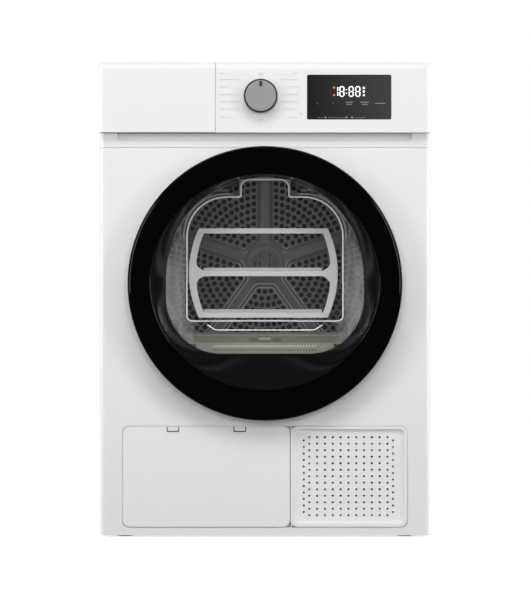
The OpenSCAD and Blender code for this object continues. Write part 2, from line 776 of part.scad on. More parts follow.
module lint_filter() color("darkkhaki") difference() {
    union() {
        slab(filter_y[0], filter_y[1]) intersection() {
            translate([-filter_half, 232]) square([2 * filter_half, filter_z1 - 240]);
            translate([0, drum_z]) circle(r = collar_r - collar_wall - 2, $fn = 96);
        }
        block([-filter_top_half, filter_y[0] - 1, filter_z1 - 15],
              [filter_top_half, filter_y[1] - 1, filter_z1]);
    }
    // hollow between the two mesh faces, open at the top
    slab(filter_y[0] + 1.2, filter_y[1] - 1.2) intersection() {
        translate([-filter_half + 4, 232]) square([2 * filter_half - 8, filter_z1 - 231]);
        translate([0, drum_z]) circle(r = collar_r - collar_wall - 6, $fn = 96);
    }
}

module drum_shell() color("silver") {
    turned(0, drum_z, drum_y1) {
        depth = drum_y1 - drum_y0;
        translate([drum_r - drum_t, 0]) square([drum_t, depth]);
        translate([drum_r - 8, depth - drum_t]) square([8, drum_t]);
        translate([drum_r - 8, depth - 7]) square([drum_t, 7]);
    }
}

// Rows of holes in five sectors around the hub
back_ring_pitch = 27;
back_first_r = 48;
arm_w = 34;

module drum_back() color("gray") difference() {
    union() {
        slab(back_y - 1.2, back_y) circle_at(drum_z, drum_r - drum_t - fit_gap);
        slab(back_y - 4, back_y - 1) circle_at(drum_z, 33);
    }
    slab(back_y - 2, back_y + 1) translate([0, drum_z])
        for (sector = [0 : 4], k = [0 : 7]) {
            r = back_first_r + k * back_ring_pitch;
            half_angle = 36 - asin((arm_w / 2 + back_hole_d) / r);
            count = floor(half_angle * PI / 180 * r / back_ring_pitch);
            for (j = [-count : count])
                rotate(90 + 36 + 72 * sector + j * back_ring_pitch / r * 180 / PI)
                    translate([r, 0]) circle(d = back_hole_d, $fn = 16);
        }
}

module circle_at(z, r) translate([0, z]) circle(r = r, $fn = 96);

// Section of a lifter: a ridge with a round crest, made smaller by inset
module lifter_section(inset) {
    crest = drum_r - lifter_h;
    polygon([[drum_r, inset - 38], [drum_r, 38 - inset], [crest, 10 - inset], [crest, inset - 10]]);
    translate([crest + 0.8, 0]) circle(r = 10 - inset, $fn = 32);
}

module drum_lifters() color("silver")
    slab(drum_y0 + 40, back_y - 30) translate([0, drum_z]) for (i = [0 : 2]) intersection() {
        circle(r = drum_r - drum_t - 0.1, $fn = 96);
        rotate(90 + 120 * i) difference() {
            lifter_section(0);
            lifter_section(2.5);
        }
    }

module drum_shaft() color("silver") {
    rod_y(0, drum_z, back_y, rear_y + 11, shaft_d / 2);
    rod_y(0, drum_z, back_y, back_y + 4, 44);
    for (i = [0 : 2]) translate([0, 0, drum_z]) rotate([0, 90 + 120 * i, 0])
        block([0, back_y, -14], [drum_r - 12, back_y + 3, 14]);
}

module shaft_bearing() color("peru") difference() {
    rod_y(0, drum_z, rear_y - 12, rear_y + 9, bearing_r);
    rod_y(0, drum_z, rear_y - 13, rear_y + 10, shaft_d / 2 + run_gap);
}

// ---------------------------------------------------------------- drive

belt_y0 = rear_y - 214;
motor_y = [belt_y0 + belt_w + 14, belt_y0 + belt_w + 114];
blower_y = [rear_y - 81, rear_y - 23];
motor_shaft_r = pulley_r;
belt_t = 2.5;
belt_clear = 0.5;

module motor_body() color("slategray") difference() {
    union() {
        rod_y(blower_x, blower_z, motor_y[0], motor_y[1], motor_r);
        for (y = [motor_y[0] + 12, motor_y[1] - 24])
            block([blower_x - 40, y, tray_z0 + tray_wall], [blower_x + 40, y + 12, blower_z - 20]);
    }
    rod_y(blower_x, blower_z, motor_y[0] - 1, motor_y[1] + 1, motor_shaft_r + run_gap);
}

module motor_shaft() color("silver") {
    rod_y(blower_x, blower_z, belt_y0 - 8, blower_y[1] - 8, motor_shaft_r);
    for (y = [belt_y0 - 4, belt_y0 + belt_w + 1])
        rod_y(blower_x, blower_z, y, y + 3, pulley_r + 5);
}

// The belt runs straight between its arcs on the drum and on the pulley
belt_dx = blower_x;
belt_dz = blower_z - drum_z;
belt_dist = sqrt(belt_dx * belt_dx + belt_dz * belt_dz);
belt_angle = atan2(belt_dz, belt_dx);

module belt_loop(grow) hull() {
    translate([0, drum_z]) circle(r = drum_r + belt_clear + grow, $fn = 120);
    translate([blower_x, blower_z]) circle(r = pulley_r + belt_clear + grow, $fn = 36);
}

module drive_belt() color("black") slab(belt_y0, belt_y0 + belt_w) difference() {
    belt_loop(belt_t);
    belt_loop(0);
}

// The idler presses on the lower run: its place follows the belt's outer tangent
idler_r = 16;
idler_share = 0.62;
tangent_angle = belt_angle - acos((drum_r - pulley_r) / belt_dist);
run_len = sqrt(belt_dist * belt_dist - (drum_r - pulley_r) * (drum_r - pulley_r));
idler_off = belt_clear + belt_t + 0.6 + idler_r;
idler_x = (drum_r + idler_off) * cos(tangent_angle) - idler_share * run_len * sin(tangent_angle);
idler_z = drum_z + (drum_r + idler_off) * sin(tangent_angle) + idler_share * run_len * cos(tangent_angle);
idler_pivot = [blower_x - 62, 40];

module idler_arm() color("silver") difference() {
    union() {
        translate([0, belt_y0 + belt_w + 2.5, 0]) rotate([90, 0, 0]) linear_extrude(2) hull() {
            translate([idler_x, idler_z]) circle(r = 8, $fn = 32);
            translate(idler_pivot) circle(r = 9, $fn = 32);
        }
        rod_y(idler_x, idler_z, belt_y0 - 1, belt_y0 + belt_w + 2.4, 4);
    }
    rod_y(idler_pivot[0], idler_pivot[1], belt_y0, belt_y0 + belt_w + 10, 4 + run_gap);
}

module idler_wheel() color("dimgray") difference() {
    rod_y(idler_x, idler_z, belt_y0, belt_y0 + belt_w, idler_r);
    rod_y(idler_x, idler_z, belt_y0 - 1, belt_y0 + belt_w + 1, 4 + run_gap);
}

housing_r = blower_r + 12;

module blower_housing() color("gainsboro") difference() {
    union() {
        rod_y(blower_x, blower_z, blower_y[0], blower_y[1], housing_r);
        block([neck_x[0], blower_y[0], blower_z], [neck_x[1] - 4, rear_y - sheet_t - fit_gap, neck_z0 + 62]);
        block([blower_x - 50, blower_y[0] + 10, tray_z0 + tray_wall],
              [blower_x + 50, blower_y[1] - 10, blower_z - housing_r + 20]);
    }
    rod_y(blower_x, blower_z, blower_y[0] + 2.5, blower_y[1] - 2.5, housing_r - 2.5);
    rod_y(blower_x, blower_z, blower_y[0] - 1, blower_y[0] + 5, blower_r - 22);
    block([neck_x[0] + 3, blower_y[0] + 2.5, blower_z],
          [neck_x[1] - 7, rear_y + 1, neck_z0 + 59]);
}

blade_count = 12;

module blower_wheel() color("gainsboro") difference() {
    union() {
        rod_y(blower_x, blower_z, blower_y[1] - 14, blower_y[1] - 11, blower_r);
        rod_y(blower_x, blower_z, blower_y[1] - 30, blower_y[1] - 11, 16);
        for (i = [0 : blade_count - 1]) translate([blower_x, 0, blower_z])
            rotate([0, i * 360 / blade_count, 0])
                block([14, blower_y[1] - 48, -1], [blower_r - 1, blower_y[1] - 12, 1]);
    }
    rod_y(blower_x, blower_z, blower_y[0], blower_y[1], motor_shaft_r + fit_gap);
}

// ---------------------------------------------------------------- heat pump

module exchanger_housing() color("gray") difference() {
    block([exchanger_x0, exchanger_y[0], exchanger_z0], [exchanger_x1, exchanger_y[1], exchanger_z1]);
    block([exchanger_x0 + 3, exchanger_y[0] + 3, exchanger_z0 - 1],
          [exchanger_x1 - 3, exchanger_y[1] - 3, exchanger_z1 - 3]);
    block([access_x[0], exchanger_y[0] - 1, access_z[0]], [access_x[1], exchanger_y[0] + 4, access_z[1]]);
    block([exchanger_x0 + 30, exchanger_y[1] - 4, 30], [exchanger_x1 - 30, exchanger_y[1] + 1, 170]);
    block([duct_x[0] + 3, bulkhead_y[1], exchanger_z1 - 5],
          [duct_x[1] - 3, drum_y0 - 5, exchanger_z1 + 1]);
}

fin_pitch = 14;
coil_z = [22, 186];
coil_x = [exchanger_x0 + 8, exchanger_x1 - 8];

// A block of upright fins on straight tubes
module coil(y0, y1) {
    for (x = [coil_x[0] : fin_pitch : coil_x[1] - 2]) block([x, y0, coil_z[0]], [x + 2, y1, coil_z[1]]);
    for (z = [coil_z[0] + 30 : 52 : coil_z[1] - 20])
        rod_x((y0 + y1) / 2, z, coil_x[0], coil_x[1], 5);
}

module heat_exchangers() color("silver") {
    coil(exchanger_y[0] + 80, exchanger_y[0] + 150);
    coil(exchanger_y[0] + 170, exchanger_y[0] + 270);
}

compressor_x = 172;
compressor_y = front_y + 190;
pipe_z = 207;

module compressor() color("dimgray") {
    rod_z(compressor_x, compressor_y, 30, 190, compressor_r);
    translate([compressor_x, compressor_y, 190]) cylinder(h = 16, r1 = compressor_r, r2 = compressor_r * 0.6);
    for (a = [30, 150, 270])
        translate([compressor_x + (compressor_r + 8) * cos(a), compressor_y + (compressor_r + 8) * sin(a), 0])
            rod_z(0, 0, tray_z0 + tray_wall, 36, 9);
    for (a = [30, 150, 270]) translate([compressor_x, compressor_y, 30]) rotate([0, 0, a])
        block([0, -12, 0], [compressor_r + 8, 12, 5]);
    // suction and pressure pipes over to the exchanger housing
    for (s = [-1, 1]) {
        rod_z(compressor_x - 20, compressor_y + s * 18, 195, pipe_z, 4);
        rod_x(compressor_y + s * 18, pipe_z, exchanger_x1 - 20, compressor_x - 20, 4);
        translate([compressor_x - 20, compressor_y + s * 18, pipe_z]) sphere(r = 4);
        translate([exchanger_x1 - 20, compressor_y + s * 18, pipe_z]) sphere(r = 4);
        rod_z(exchanger_x1 - 20, compressor_y + s * 18, exchanger_z1, pipe_z, 4);
    }
}

fan_x = 160;
fan_z = 108;
fan_y = [front_y + 27, front_y + 49];

module fan_housing() color("dimgray") difference() {
    slab(fan_y[0], fan_y[1])
        round_rect([fan_x - fan_r - 8, tray_z0 + tray_wall], [fan_x + fan_r + 8, fan_z + fan_r + 8], 8);
    rod_y(fan_x, fan_z, fan_y[0] - 1, fan_y[1] - 4, fan_r + 2);
    difference() {
        rod_y(fan_x, fan_z, fan_y[1] - 5, fan_y[1] + 1, fan_r + 2);
        for (a = [0, 90]) translate([fan_x, 0, fan_z]) rotate([0, a, 0])
            block([-fan_r - 3, fan_y[1] - 6, -5], [fan_r + 3, fan_y[1] + 2, 5]);
        rod_y(fan_x, fan_z, fan_y[1] - 6, fan_y[1] + 2, 18);
    }
    rod_y(fan_x, fan_z, fan_y[0], fan_y[1] + 2, 3 + run_gap);
}

module cooling_fan() color("gray") {
    rod_y(fan_x, fan_z, fan_y[0] + 2, fan_y[1] - 6, 15);
    rod_y(fan_x, fan_z, fan_y[0] + 3, fan_y[1] + 4, 3);
    for (i = [0 : 6]) translate([fan_x, 0, fan_z]) rotate([0, i * 360 / 7, 0])
        translate([13, (fan_y[0] + fan_y[1]) / 2 - 2, 0])
            rotate([35, 0, 0]) block([0, -1, -9], [fan_r - 14, 1, 9]);
}

pump_x = exchanger_x0 + 60;
pump_y = rear_y - 150;
riser = [-half_w + 26, rear_y - 16];
riser_z1 = tank_z1 + sleeve_gap + sleeve_wall + hose_r + 1;

module drain_pump() color("dimgray") {
    rod_z(pump_x, pump_y, tray_z0 + tray_wall, 52, 24);
    rod_z(pump_x, pump_y, 52, 70, 14);
    hose_run([[pump_x, pump_y, 40], [pump_x, riser[1], 40], [riser[0], riser[1], 40],
              [riser[0], riser[1], riser_z1], [fill_x, riser[1], riser_z1], [fill_x, fill_y, riser_z1],
              [fill_x, fill_y, tank_z1 + sleeve_gap + 0.5]]);
}

// Straight hose pieces with round elbows
module hose_run(points) {
    for (i = [0 : len(points) - 2]) {
        step = points[i + 1] - points[i];
        length = norm(step);
        translate(points[i]) rotate([0, acos(step[2] / length), atan2(step[1], step[0])])
            cylinder(h = length, r = hose_r, $fn = 32);
    }
    for (i = [1 : len(points) - 2]) translate(points[i]) sphere(r = hose_r, $fn = 32);
}

// ---------------------------------------------------------------- plinth, flap and access cover

plinth_y1 = front_y + 18.5;
flap_x = [-plinth_x + seam, -plinth_x + flap_w - seam];
grille_x = [-plinth_x + flap_w + seam, plinth_x - seam];
bay_wall = 2;
pivot_y = front_y + 3.4;
// above the round corner, so that the tilting flap clears the opening
pivot_z = plinth_z0 + flap_corner_r;
pivot_r = 1.5;

module grille_holes() {
    width = grille_x[1] - grille_x[0];
    mid_x = (grille_x[0] + grille_x[1]) / 2 - 0.7;
    mid_z = (plinth_z0 + plinth_z1) / 2;
    pitch_x = width / 14.9;
    pitch_z = plinth_h / 15.55;
    columns = grille_count[0];
    rows = grille_count[1];
    for (i = [0 : columns - 1], k = [0 : rows - 1])
        translate([mid_x + (i - (columns - 1) / 2) * pitch_x, mid_z + (k - (rows - 1) / 2) * pitch_z])
            circle(d = grille_hole_d, $fn = 16);
    for (side = [-1, 1], k = [0 : rows - 2])
        translate([mid_x + side * (columns / 2 + 0.2) * pitch_x, mid_z + (k - (rows - 2) / 2) * pitch_z])
            circle(d = grille_hole_d, $fn = 16);
}

module plinth_grille() color("white") difference() {
    union() {
        // box behind the front panel, around both bays
        slab(front_y + sheet_t + 0.3, plinth_y1) difference() {
            translate([-plinth_x - 4.5, plinth_z0 - 7]) square([2 * plinth_x + 9, plinth_h + 14]);
            translate([-plinth_x - 2, plinth_z0 - 4.5]) square([2 * plinth_x + 4, plinth_h + 9]);
        }
        slab(plinth_y1 - bay_wall, plinth_y1)
            translate([-plinth_x - 4, plinth_z0 - 6]) square([2 * plinth_x + 8, plinth_h + 12]);
        // wall between the flap and the grille
        block([flap_x[1] + 2, front_y + 3, plinth_z0 - 6],
              [flap_x[1] + 2 + bay_wall, plinth_y1, plinth_z1 + 6]);
        // dished grille
        slab(front_y, plinth_y1 - 1)
            round_rect([grille_x[0], plinth_z0 + seam], [grille_x[1], plinth_z1 - seam], flap_corner_r);
    }
    slab(front_y - 1, front_y + 6)
        round_rect([grille_x[0] + 6, plinth_z0 + 6], [grille_x[1] - 6, plinth_z1 - 6], flap_corner_r - 5);
    slab(front_y + 8.5, plinth_y1 + 1)
        round_rect([grille_x[0] + 6, plinth_z0 + 6], [grille_x[1] - 6, plinth_z1 - 6], flap_corner_r - 5);
    slab(front_y + 5, front_y + 10) grille_holes();
    slab(plinth_y1 - 4, plinth_y1 + 1)
        round_rect([access_x[0] + 3, access_z[0] + 3], [access_x[1] - 3, access_z[1] - 3], 0.4);
    rod_x(pivot_y, pivot_z, -plinth_x - 6, -plinth_x - 1, pivot_r + run_gap);
    rod_x(pivot_y, pivot_z, flap_x[1] + 1, flap_x[1] + 3 + bay_wall, pivot_r + run_gap);
}

catch_w = 21;
catch_h = 12;
catch_x = [-plinth_x + 90.7, -plinth_x + 210.3];

module flap_outline(inset)
    round_rect([flap_x[0] + inset, plinth_z0 + seam + inset],
               [flap_x[1] - inset, plinth_z1 - seam - inset], flap_corner_r - inset / 2);

catch_travel = 3;
catch_drop = 1.6;

module flap_catch(x) color("white") {
    slab(front_y + 0.2, front_y + 2.2)
        round_rect([x - catch_w / 2 + 0.5, plinth_z1 - catch_h + catch_travel],
                   [x + catch_w / 2 - 0.5, plinth_z1 - seam - catch_drop], 1.5);
}

module flap_catch_left() flap_catch(catch_x[0]);
module flap_catch_right() flap_catch(catch_x[1]);

module service_flap() color("white") difference() {
    union() {
        slab(front_y, front_y + 3) flap_outline(0);
        slab(front_y + 2.9, front_y + 7) difference() {
            flap_outline(5);
            flap_outline(7);
        }
        rod_x(pivot_y, pivot_z, -plinth_x - 4.3, flap_x[0] + 30, pivot_r);
        rod_x(pivot_y, pivot_z, flap_x[1] - 30, flap_x[1] + 4.3, pivot_r);
        for (x = catch_x)
            block([x - catch_w / 2 - 2, front_y + 2.5, plinth_z1 - catch_h - 5],
                  [x + catch_w / 2 + 2, front_y + 6, plinth_z1 - seam - 2]);
    }
    for (x = catch_x)
        slab(front_y - 1, front_y + 2.5)
            round_rect([x - catch_w / 2, plinth_z1 - catch_h - gap], [x + catch_w / 2, plinth_z1 + 3], 1.9);
}

grip_half = 60;
grip_x = (access_x[0] + access_x[1]) / 2;
grip_z = (access_z[0] + access_z[1]) / 2;

module access_cover() color("gray") {
    block([access_x[0] + 0.3, plinth_y1 + 1, access_z[0] + 0.3],
          [access_x[1] - 0.3, exchanger_y[0] + 3, access_z[1] - 0.3]);
    block([access_x[0] + 3.5, plinth_y1 - 2, access_z[0] + 3.5],
          [access_x[1] - 3.5, plinth_y1 + 1.1, access_z[1] - 3.5]);
    block([grip_x - grip_half, plinth_y1 - 7, grip_z - 8], [grip_x + grip_half, plinth_y1 - 1.9, grip_z + 8]);
}

module foot(x, y) color("black") translate([x, y, 0]) {
    cylinder(h = foot_h, r = foot_r);
    cylinder(h = bolt_h, r = bolt_r);
}

module front_left_foot() foot(-foot_x, foot_y[0]);
module front_right_foot() foot(foot_x, foot_y[0]);
module rear_feet() for (x = [-foot_x, foot_x]) foot(x, foot_y[1]);

base_tray();
side_panels();
rear_panel();
rear_duct_cover();
top_panel();
front_panel();
plinth_grille();
control_panel();
display_window();
control_board();
program_knob();
key_1();
key_2();
key_3();
key_4();
key_5();
tank_front();
water_tank();
tank_sleeve();
door_ring();
door_funnel();
door_bowl();
bowl_guard();
door_seal();
hinge_leaf();
latch_hook();
hinge_bracket();
hinge_pin();
door_latch();
front_bulkhead();
felt_seals();
support_roller_left();
support_roller_right();
lint_filter();
drum_shell();
drum_back();
drum_lifters();
drum_shaft();
shaft_bearing();
motor_body();
motor_shaft();
drive_belt();
idler_arm();
idler_wheel();
blower_housing();
blower_wheel();
compressor();
heat_exchangers();
exchanger_housing();
fan_housing();
cooling_fan();
drain_pump();
service_flap();
flap_catch_left();
flap_catch_right();
access_cover();
front_left_foot();
front_right_foot();
rear_feet();
screws();
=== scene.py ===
"""Looks, lights and camera for the front-loading tumble dryer."""
import json
import math
import bmesh
import bpy
from mathutils import Matrix, Vector


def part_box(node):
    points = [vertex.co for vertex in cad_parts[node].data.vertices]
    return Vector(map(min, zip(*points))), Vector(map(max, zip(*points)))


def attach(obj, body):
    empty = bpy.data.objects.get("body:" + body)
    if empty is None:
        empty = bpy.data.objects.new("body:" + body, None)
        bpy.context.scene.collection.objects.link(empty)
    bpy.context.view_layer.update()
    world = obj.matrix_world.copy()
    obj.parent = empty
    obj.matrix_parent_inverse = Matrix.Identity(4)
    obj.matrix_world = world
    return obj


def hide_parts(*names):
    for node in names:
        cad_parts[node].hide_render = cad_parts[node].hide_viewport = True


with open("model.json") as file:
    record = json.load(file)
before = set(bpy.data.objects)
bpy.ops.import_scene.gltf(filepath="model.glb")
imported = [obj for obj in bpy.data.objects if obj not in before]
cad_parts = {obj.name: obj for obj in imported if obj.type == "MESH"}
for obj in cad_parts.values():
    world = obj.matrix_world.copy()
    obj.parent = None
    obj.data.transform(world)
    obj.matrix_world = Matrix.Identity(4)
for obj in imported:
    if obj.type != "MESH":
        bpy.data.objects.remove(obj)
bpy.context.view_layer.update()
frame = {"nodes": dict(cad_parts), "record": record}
MM = 0.001
TURN = 2 * math.pi


# ---------------------------------------------------------------- places taken from the frame

def mid(node):
    low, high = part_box(node)
    return (low + high) / 2


RING_LOW, RING_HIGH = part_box("door_ring")
DOOR = Vector((0, RING_LOW.y, mid("door_ring").z))
DOOR_R = (RING_HIGH.z - RING_LOW.z) / 2
FUNNEL_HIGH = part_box("door_funnel")[1]
BOWL_LOW, BOWL_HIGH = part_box("door_bowl")
GUARD_LOW, GUARD_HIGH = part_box("bowl_guard")
DRUM = mid("drum_back")
BACK_LOW, BACK_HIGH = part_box("drum_back")
KNOB_LOW, KNOB_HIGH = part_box("program_knob")
GLASS_LOW, GLASS_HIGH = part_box("display_window")
PANEL_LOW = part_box("control_panel")[0]
FILTER_LOW, FILTER_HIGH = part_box("lint_filter")
FRONT_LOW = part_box("front_panel")[0]
WINDOW_TOP = BOWL_HIGH.z


# ---------------------------------------------------------------- materials

def grey(level, tint=(1, 1, 1)):
    """A colour whose display value is level, from 0 to 255."""
    s = level / 255
    linear = s / 12.92 if s <= 0.04045 else ((s + 0.055) / 1.055) ** 2.4
    return tuple(linear * t for t in tint) + (1,)


def noise_node(tree, coords, scale, detail, stretch):
    mapping = tree.nodes.new("ShaderNodeMapping")
    mapping.inputs["Scale"].default_value = stretch
    noise = tree.nodes.new("ShaderNodeTexNoise")
    noise.inputs["Scale"].default_value = scale
    noise.inputs["Detail"].default_value = detail
    tree.links.new(coords.outputs["Object"], mapping.inputs["Vector"])
    tree.links.new(mapping.outputs["Vector"], noise.inputs["Vector"])
    return noise


def finish_of(name, colour, rough, spread=0.03, rough_spread=0.04, scale=9, grain=900, bump=0.02,
              stretch=(1, 1, 1), **sockets):
    """A Principled material with cloudy colour, uneven roughness and a fine surface grain."""
    mat = bpy.data.materials.new(name)
    mat.use_nodes = True
    tree = mat.node_tree
    shader = tree.nodes["Principled BSDF"]
    coords = tree.nodes.new("ShaderNodeTexCoord")
    cloud = noise_node(tree, coords, scale, 4, (1, 1, 1))
    mix = tree.nodes.new("ShaderNodeMix")
    mix.data_type = "RGBA"
    mix.inputs["A"].default_value = tuple(c * (1 - spread) for c in colour[:3]) + (1,)
    mix.inputs["B"].default_value = tuple(min(1, c * (1 + spread)) for c in colour[:3]) + (1,)
    tree.links.new(cloud.outputs["Fac"], mix.inputs["Factor"])
    tree.links.new(mix.outputs["Result"], shader.inputs["Base Color"])
    fine = noise_node(tree, coords, grain, 3, stretch)
    ramp = tree.nodes.new("ShaderNodeMapRange")
    ramp.inputs["To Min"].default_value = max(0, rough - rough_spread)
    ramp.inputs["To Max"].default_value = min(1, rough + rough_spread)
    tree.links.new(fine.outputs["Fac"], ramp.inputs["Value"])
    tree.links.new(ramp.outputs["Result"], shader.inputs["Roughness"])
    relief = tree.nodes.new("ShaderNodeBump")
    relief.inputs["Strength"].default_value = bump
    relief.inputs["Distance"].default_value = 0.0004
    tree.links.new(fine.outputs["Fac"], relief.inputs["Height"])
    tree.links.new(relief.outputs["Normal"], shader.inputs["Normal"])
    for socket, value in sockets.items():
        shader.inputs[socket.replace("_", " ")].default_value = value
    return mat


def clear_plastic(name, haze, tint, rough, mirror=1.45):
    """Thin clear plastic: light passes straight through, with some haze, and it mirrors at a slant."""
    mat = finish_of(name, grey(205), rough, grain=60, bump=0.01, spread=0.05)
    tree = mat.node_tree
    clear = tree.nodes.new("ShaderNodeBsdfTransparent")
    clear.inputs["Color"].default_value = tint
    hazy = tree.nodes.new("ShaderNodeMixShader")
    hazy.inputs["Fac"].default_value = haze
    tree.links.new(clear.outputs["BSDF"], hazy.inputs[1])
    tree.links.new(tree.nodes["Principled BSDF"].outputs["BSDF"], hazy.inputs[2])
    gloss = tree.nodes.new("ShaderNodeBsdfGlossy")
    gloss.inputs["Roughness"].default_value = rough
    edge = tree.nodes.new("ShaderNodeFresnel")
    edge.inputs["IOR"].default_value = mirror
    blend = tree.nodes.new("ShaderNodeMixShader")
    tree.links.new(edge.outputs["Fac"], blend.inputs["Fac"])
    tree.links.new(hazy.outputs["Shader"], blend.inputs[1])
    tree.links.new(gloss.outputs["BSDF"], blend.inputs[2])
    tree.links.new(blend.outputs["Shader"], tree.nodes["Material Output"].inputs["Surface"])
    return mat


# distance from the middle where the haze starts and is full, and its share at both, in metres and 0 to 1; the
# haze is partly real and partly a painted highlight on the side walls, and it fades out towards the top as
# painted shade
SIDE_HAZE_AND_SHEEN = (0.125, 0.165, 0.03, 0.75)


def streaked_haze_and_sheen(mat):
    """Makes the haze of clear plastic streaky, and heavier towards the sides below the window's top: partly
    real haze, partly a painted highlight on the side walls, and painted shade where it fades out at the top.
    """
    tree = mat.node_tree
    hazy = next(n for n in tree.nodes if n.type == "MIX_SHADER" and not n.inputs["Fac"].is_linked)
    coords = tree.nodes.new("ShaderNodeTexCoord")
    streak = noise_node(tree, coords, 70, 3, (1, 0.05, 0.14))
    split = tree.nodes.new("ShaderNodeSeparateXYZ")
    height = tree.nodes.new("ShaderNodeMapRange")
    height.inputs["From Min"].default_value = WINDOW_TOP
    height.inputs["From Max"].default_value = WINDOW_TOP - 0.2
    height.inputs["To Min"].default_value = 0.0
    height.inputs["To Max"].default_value = 1.0
    width = tree.nodes.new("ShaderNodeMath")
    width.operation = "ABSOLUTE"
    sides = tree.nodes.new("ShaderNodeMapRange")
    sides.inputs["From Min"].default_value = SIDE_HAZE_AND_SHEEN[0]
    sides.inputs["From Max"].default_value = SIDE_HAZE_AND_SHEEN[1]
    sides.inputs["To Min"].default_value = SIDE_HAZE_AND_SHEEN[2]
    sides.inputs["To Max"].default_value = SIDE_HAZE_AND_SHEEN[3]
    both = tree.nodes.new("ShaderNodeMath")
    both.operation = "MULTIPLY"
    tree.links.new(split.outputs["X"], width.inputs[0])
    tree.links.new(width.outputs["Value"], sides.inputs["Value"])
    tree.links.new(sides.outputs["Result"], both.inputs[0])
    tree.links.new(height.outputs["Result"], both.inputs[1])
    product = tree.nodes.new("ShaderNodeMath")
    product.operation = "MULTIPLY"
    tree.links.new(coords.outputs["Object"], split.inputs["Vector"])
    tree.links.new(split.outputs["Z"], height.inputs["Value"])
    tree.links.new(both.outputs["Value"], product.inputs[0])
    tree.links.new(streak.outputs["Fac"], product.inputs[1])
    tree.links.new(product.outputs["Value"], hazy.inputs["Fac"])
    return mat


def brushed_metal(name, colour, rough):
    """Metal turned on a lathe about Y: fine rings, and a highlight that fans out from the centre."""
    mat = finish_of(name, colour, rough, grain=700, bump=0.03, Metallic=0.6,
                    Anisotropic=0.93, Anisotropic_Rotation=0.25)
    tree = mat.node_tree
    tangent = tree.nodes.new("ShaderNodeTangent")
    tangent.direction_type = "RADIAL"
    tangent.axis = "Y"
    tree.links.new(tangent.outputs["Tangent"], tree.nodes["Principled BSDF"].inputs["Tangent"])
    return mat


def reflection_painted_glass(name, dark, light, low, high):
    """Black glass with a painted reflection that makes it lighter towards one side."""
    mat = finish_of(name, dark, 0.08, rough_spread=0.02, grain=60, bump=0.004)
    tree = mat.node_tree
    coords = tree.nodes.new("ShaderNodeTexCoord")
    split = tree.nodes.new("ShaderNodeSeparateXYZ")
    slide = tree.nodes.new("ShaderNodeMapRange")
    slide.inputs["From Min"].default_value = low
    slide.inputs["From Max"].default_value = high
    blend = tree.nodes.new("ShaderNodeMix")
    blend.data_type = "RGBA"
    blend.inputs["A"].default_value = dark
    blend.inputs["B"].default_value = light
    tree.links.new(coords.outputs["Object"], split.inputs["Vector"])
    tree.links.new(split.outputs["X"], slide.inputs["Value"])
    tree.links.new(slide.outputs["Result"], blend.inputs["Factor"])
    tree.links.new(blend.outputs["Result"], tree.nodes["Principled BSDF"].inputs["Base Color"])
    return mat


def glowing(name, colour, strength):
    mat = finish_of(name, colour, 0.4)
    shader = mat.node_tree.nodes["Principled BSDF"]
    shader.inputs["Emission Color"].default_value = colour
    shader.inputs["Emission Strength"].default_value = strength
    return mat


WHITE = grey(236)
LOOKS = {
    "white_paint": finish_of("white_paint", WHITE, 0.33, spread=0.008, grain=420, bump=0.05,
                             Coat_Weight=0.25, Coat_Roughness=0.18),
    "white_plastic": finish_of("white_plastic", grey(237), 0.42, spread=0.008, grain=1500, bump=0.06),
    "black_gloss": finish_of("black_gloss", grey(2), 0.05, spread=0.2, rough_spread=0.015, grain=30,
                             bump=0.004,
                             Specular_IOR_Level=0.3),
    "black_plastic": finish_of("black_plastic", grey(34), 0.42, spread=0.1, grain=1400, bump=0.08),
    "knob_metal": brushed_metal("knob_metal", grey(205), 0.45),
    "clear_bowl": clear_plastic("clear_bowl", 0.02, (0.98, 0.985, 0.98, 1), 0.08, 1.3),
    "grey_guard": finish_of("grey_guard", grey(196), 0.5, spread=0.02, grain=1300, bump=0.06),
    "tank_plastic": finish_of("tank_plastic", grey(205), 0.4, spread=0.03, grain=1000, bump=0.05),
    "grey_plastic": finish_of("grey_plastic", grey(120), 0.5, spread=0.05, grain=1100, bump=0.08),
    "filter_plastic": finish_of("filter_plastic", grey(150, (1, 1, 0.82)), 0.5, spread=0.05, grain=1200,
                                bump=0.08),
    "drum_steel": finish_of("drum_steel", grey(150), 0.36, spread=0.05, scale=5, grain=260, bump=0.08,
                            stretch=(1, 0.06, 1), Metallic=0.75),
    "bright_steel": finish_of("bright_steel", grey(190), 0.28, spread=0.06, grain=500, bump=0.06,
                              Metallic=1.0),
    "zinc_sheet": finish_of("zinc_sheet", grey(176), 0.42, spread=0.14, scale=60, grain=240, bump=0.05,
                            Metallic=0.9),
    "black_rubber": finish_of("black_rubber", grey(26), 0.72, spread=0.15, grain=900, bump=0.2),
    "felt": finish_of("felt", grey(198, (1, 0.97, 0.9)), 0.95, spread=0.1, grain=1600, bump=0.6),
    "bearing_bronze": finish_of("bearing_bronze", (0.45, 0.24, 0.1, 1), 0.35, grain=600, bump=0.1,
                                Metallic=1.0),
    "dark_iron": finish_of("dark_iron", grey(58), 0.5, spread=0.15, grain=300, bump=0.15, Metallic=0.4),
    "fin_aluminium": finish_of("fin_aluminium", grey(200), 0.35, spread=0.05, grain=500, bump=0.1,
                               Metallic=1.0),
    "circuit_board": finish_of("circuit_board", (0.02, 0.12, 0.05, 1), 0.4, spread=0.2, grain=200,
                               bump=0.1),
}
DRUM_FACE = finish_of("drum_face", grey(128), 0.38, spread=0.05, scale=8, grain=500, bump=0.06,
                      Metallic=0.6)
MESH_LOOK = finish_of("filter_mesh", grey(100, (1, 1, 0.80)), 0.6, spread=0.1, grain=1200, bump=0.1)
DARK_MARK = finish_of("dark_mark", grey(60), 0.5)
PRINT = finish_of("grey_print", grey(206), 0.5)
GLASS_PRINT = finish_of("glass_print", grey(150), 0.5)
LIT_WHITE = glowing("lit_white", grey(235), 0.75)
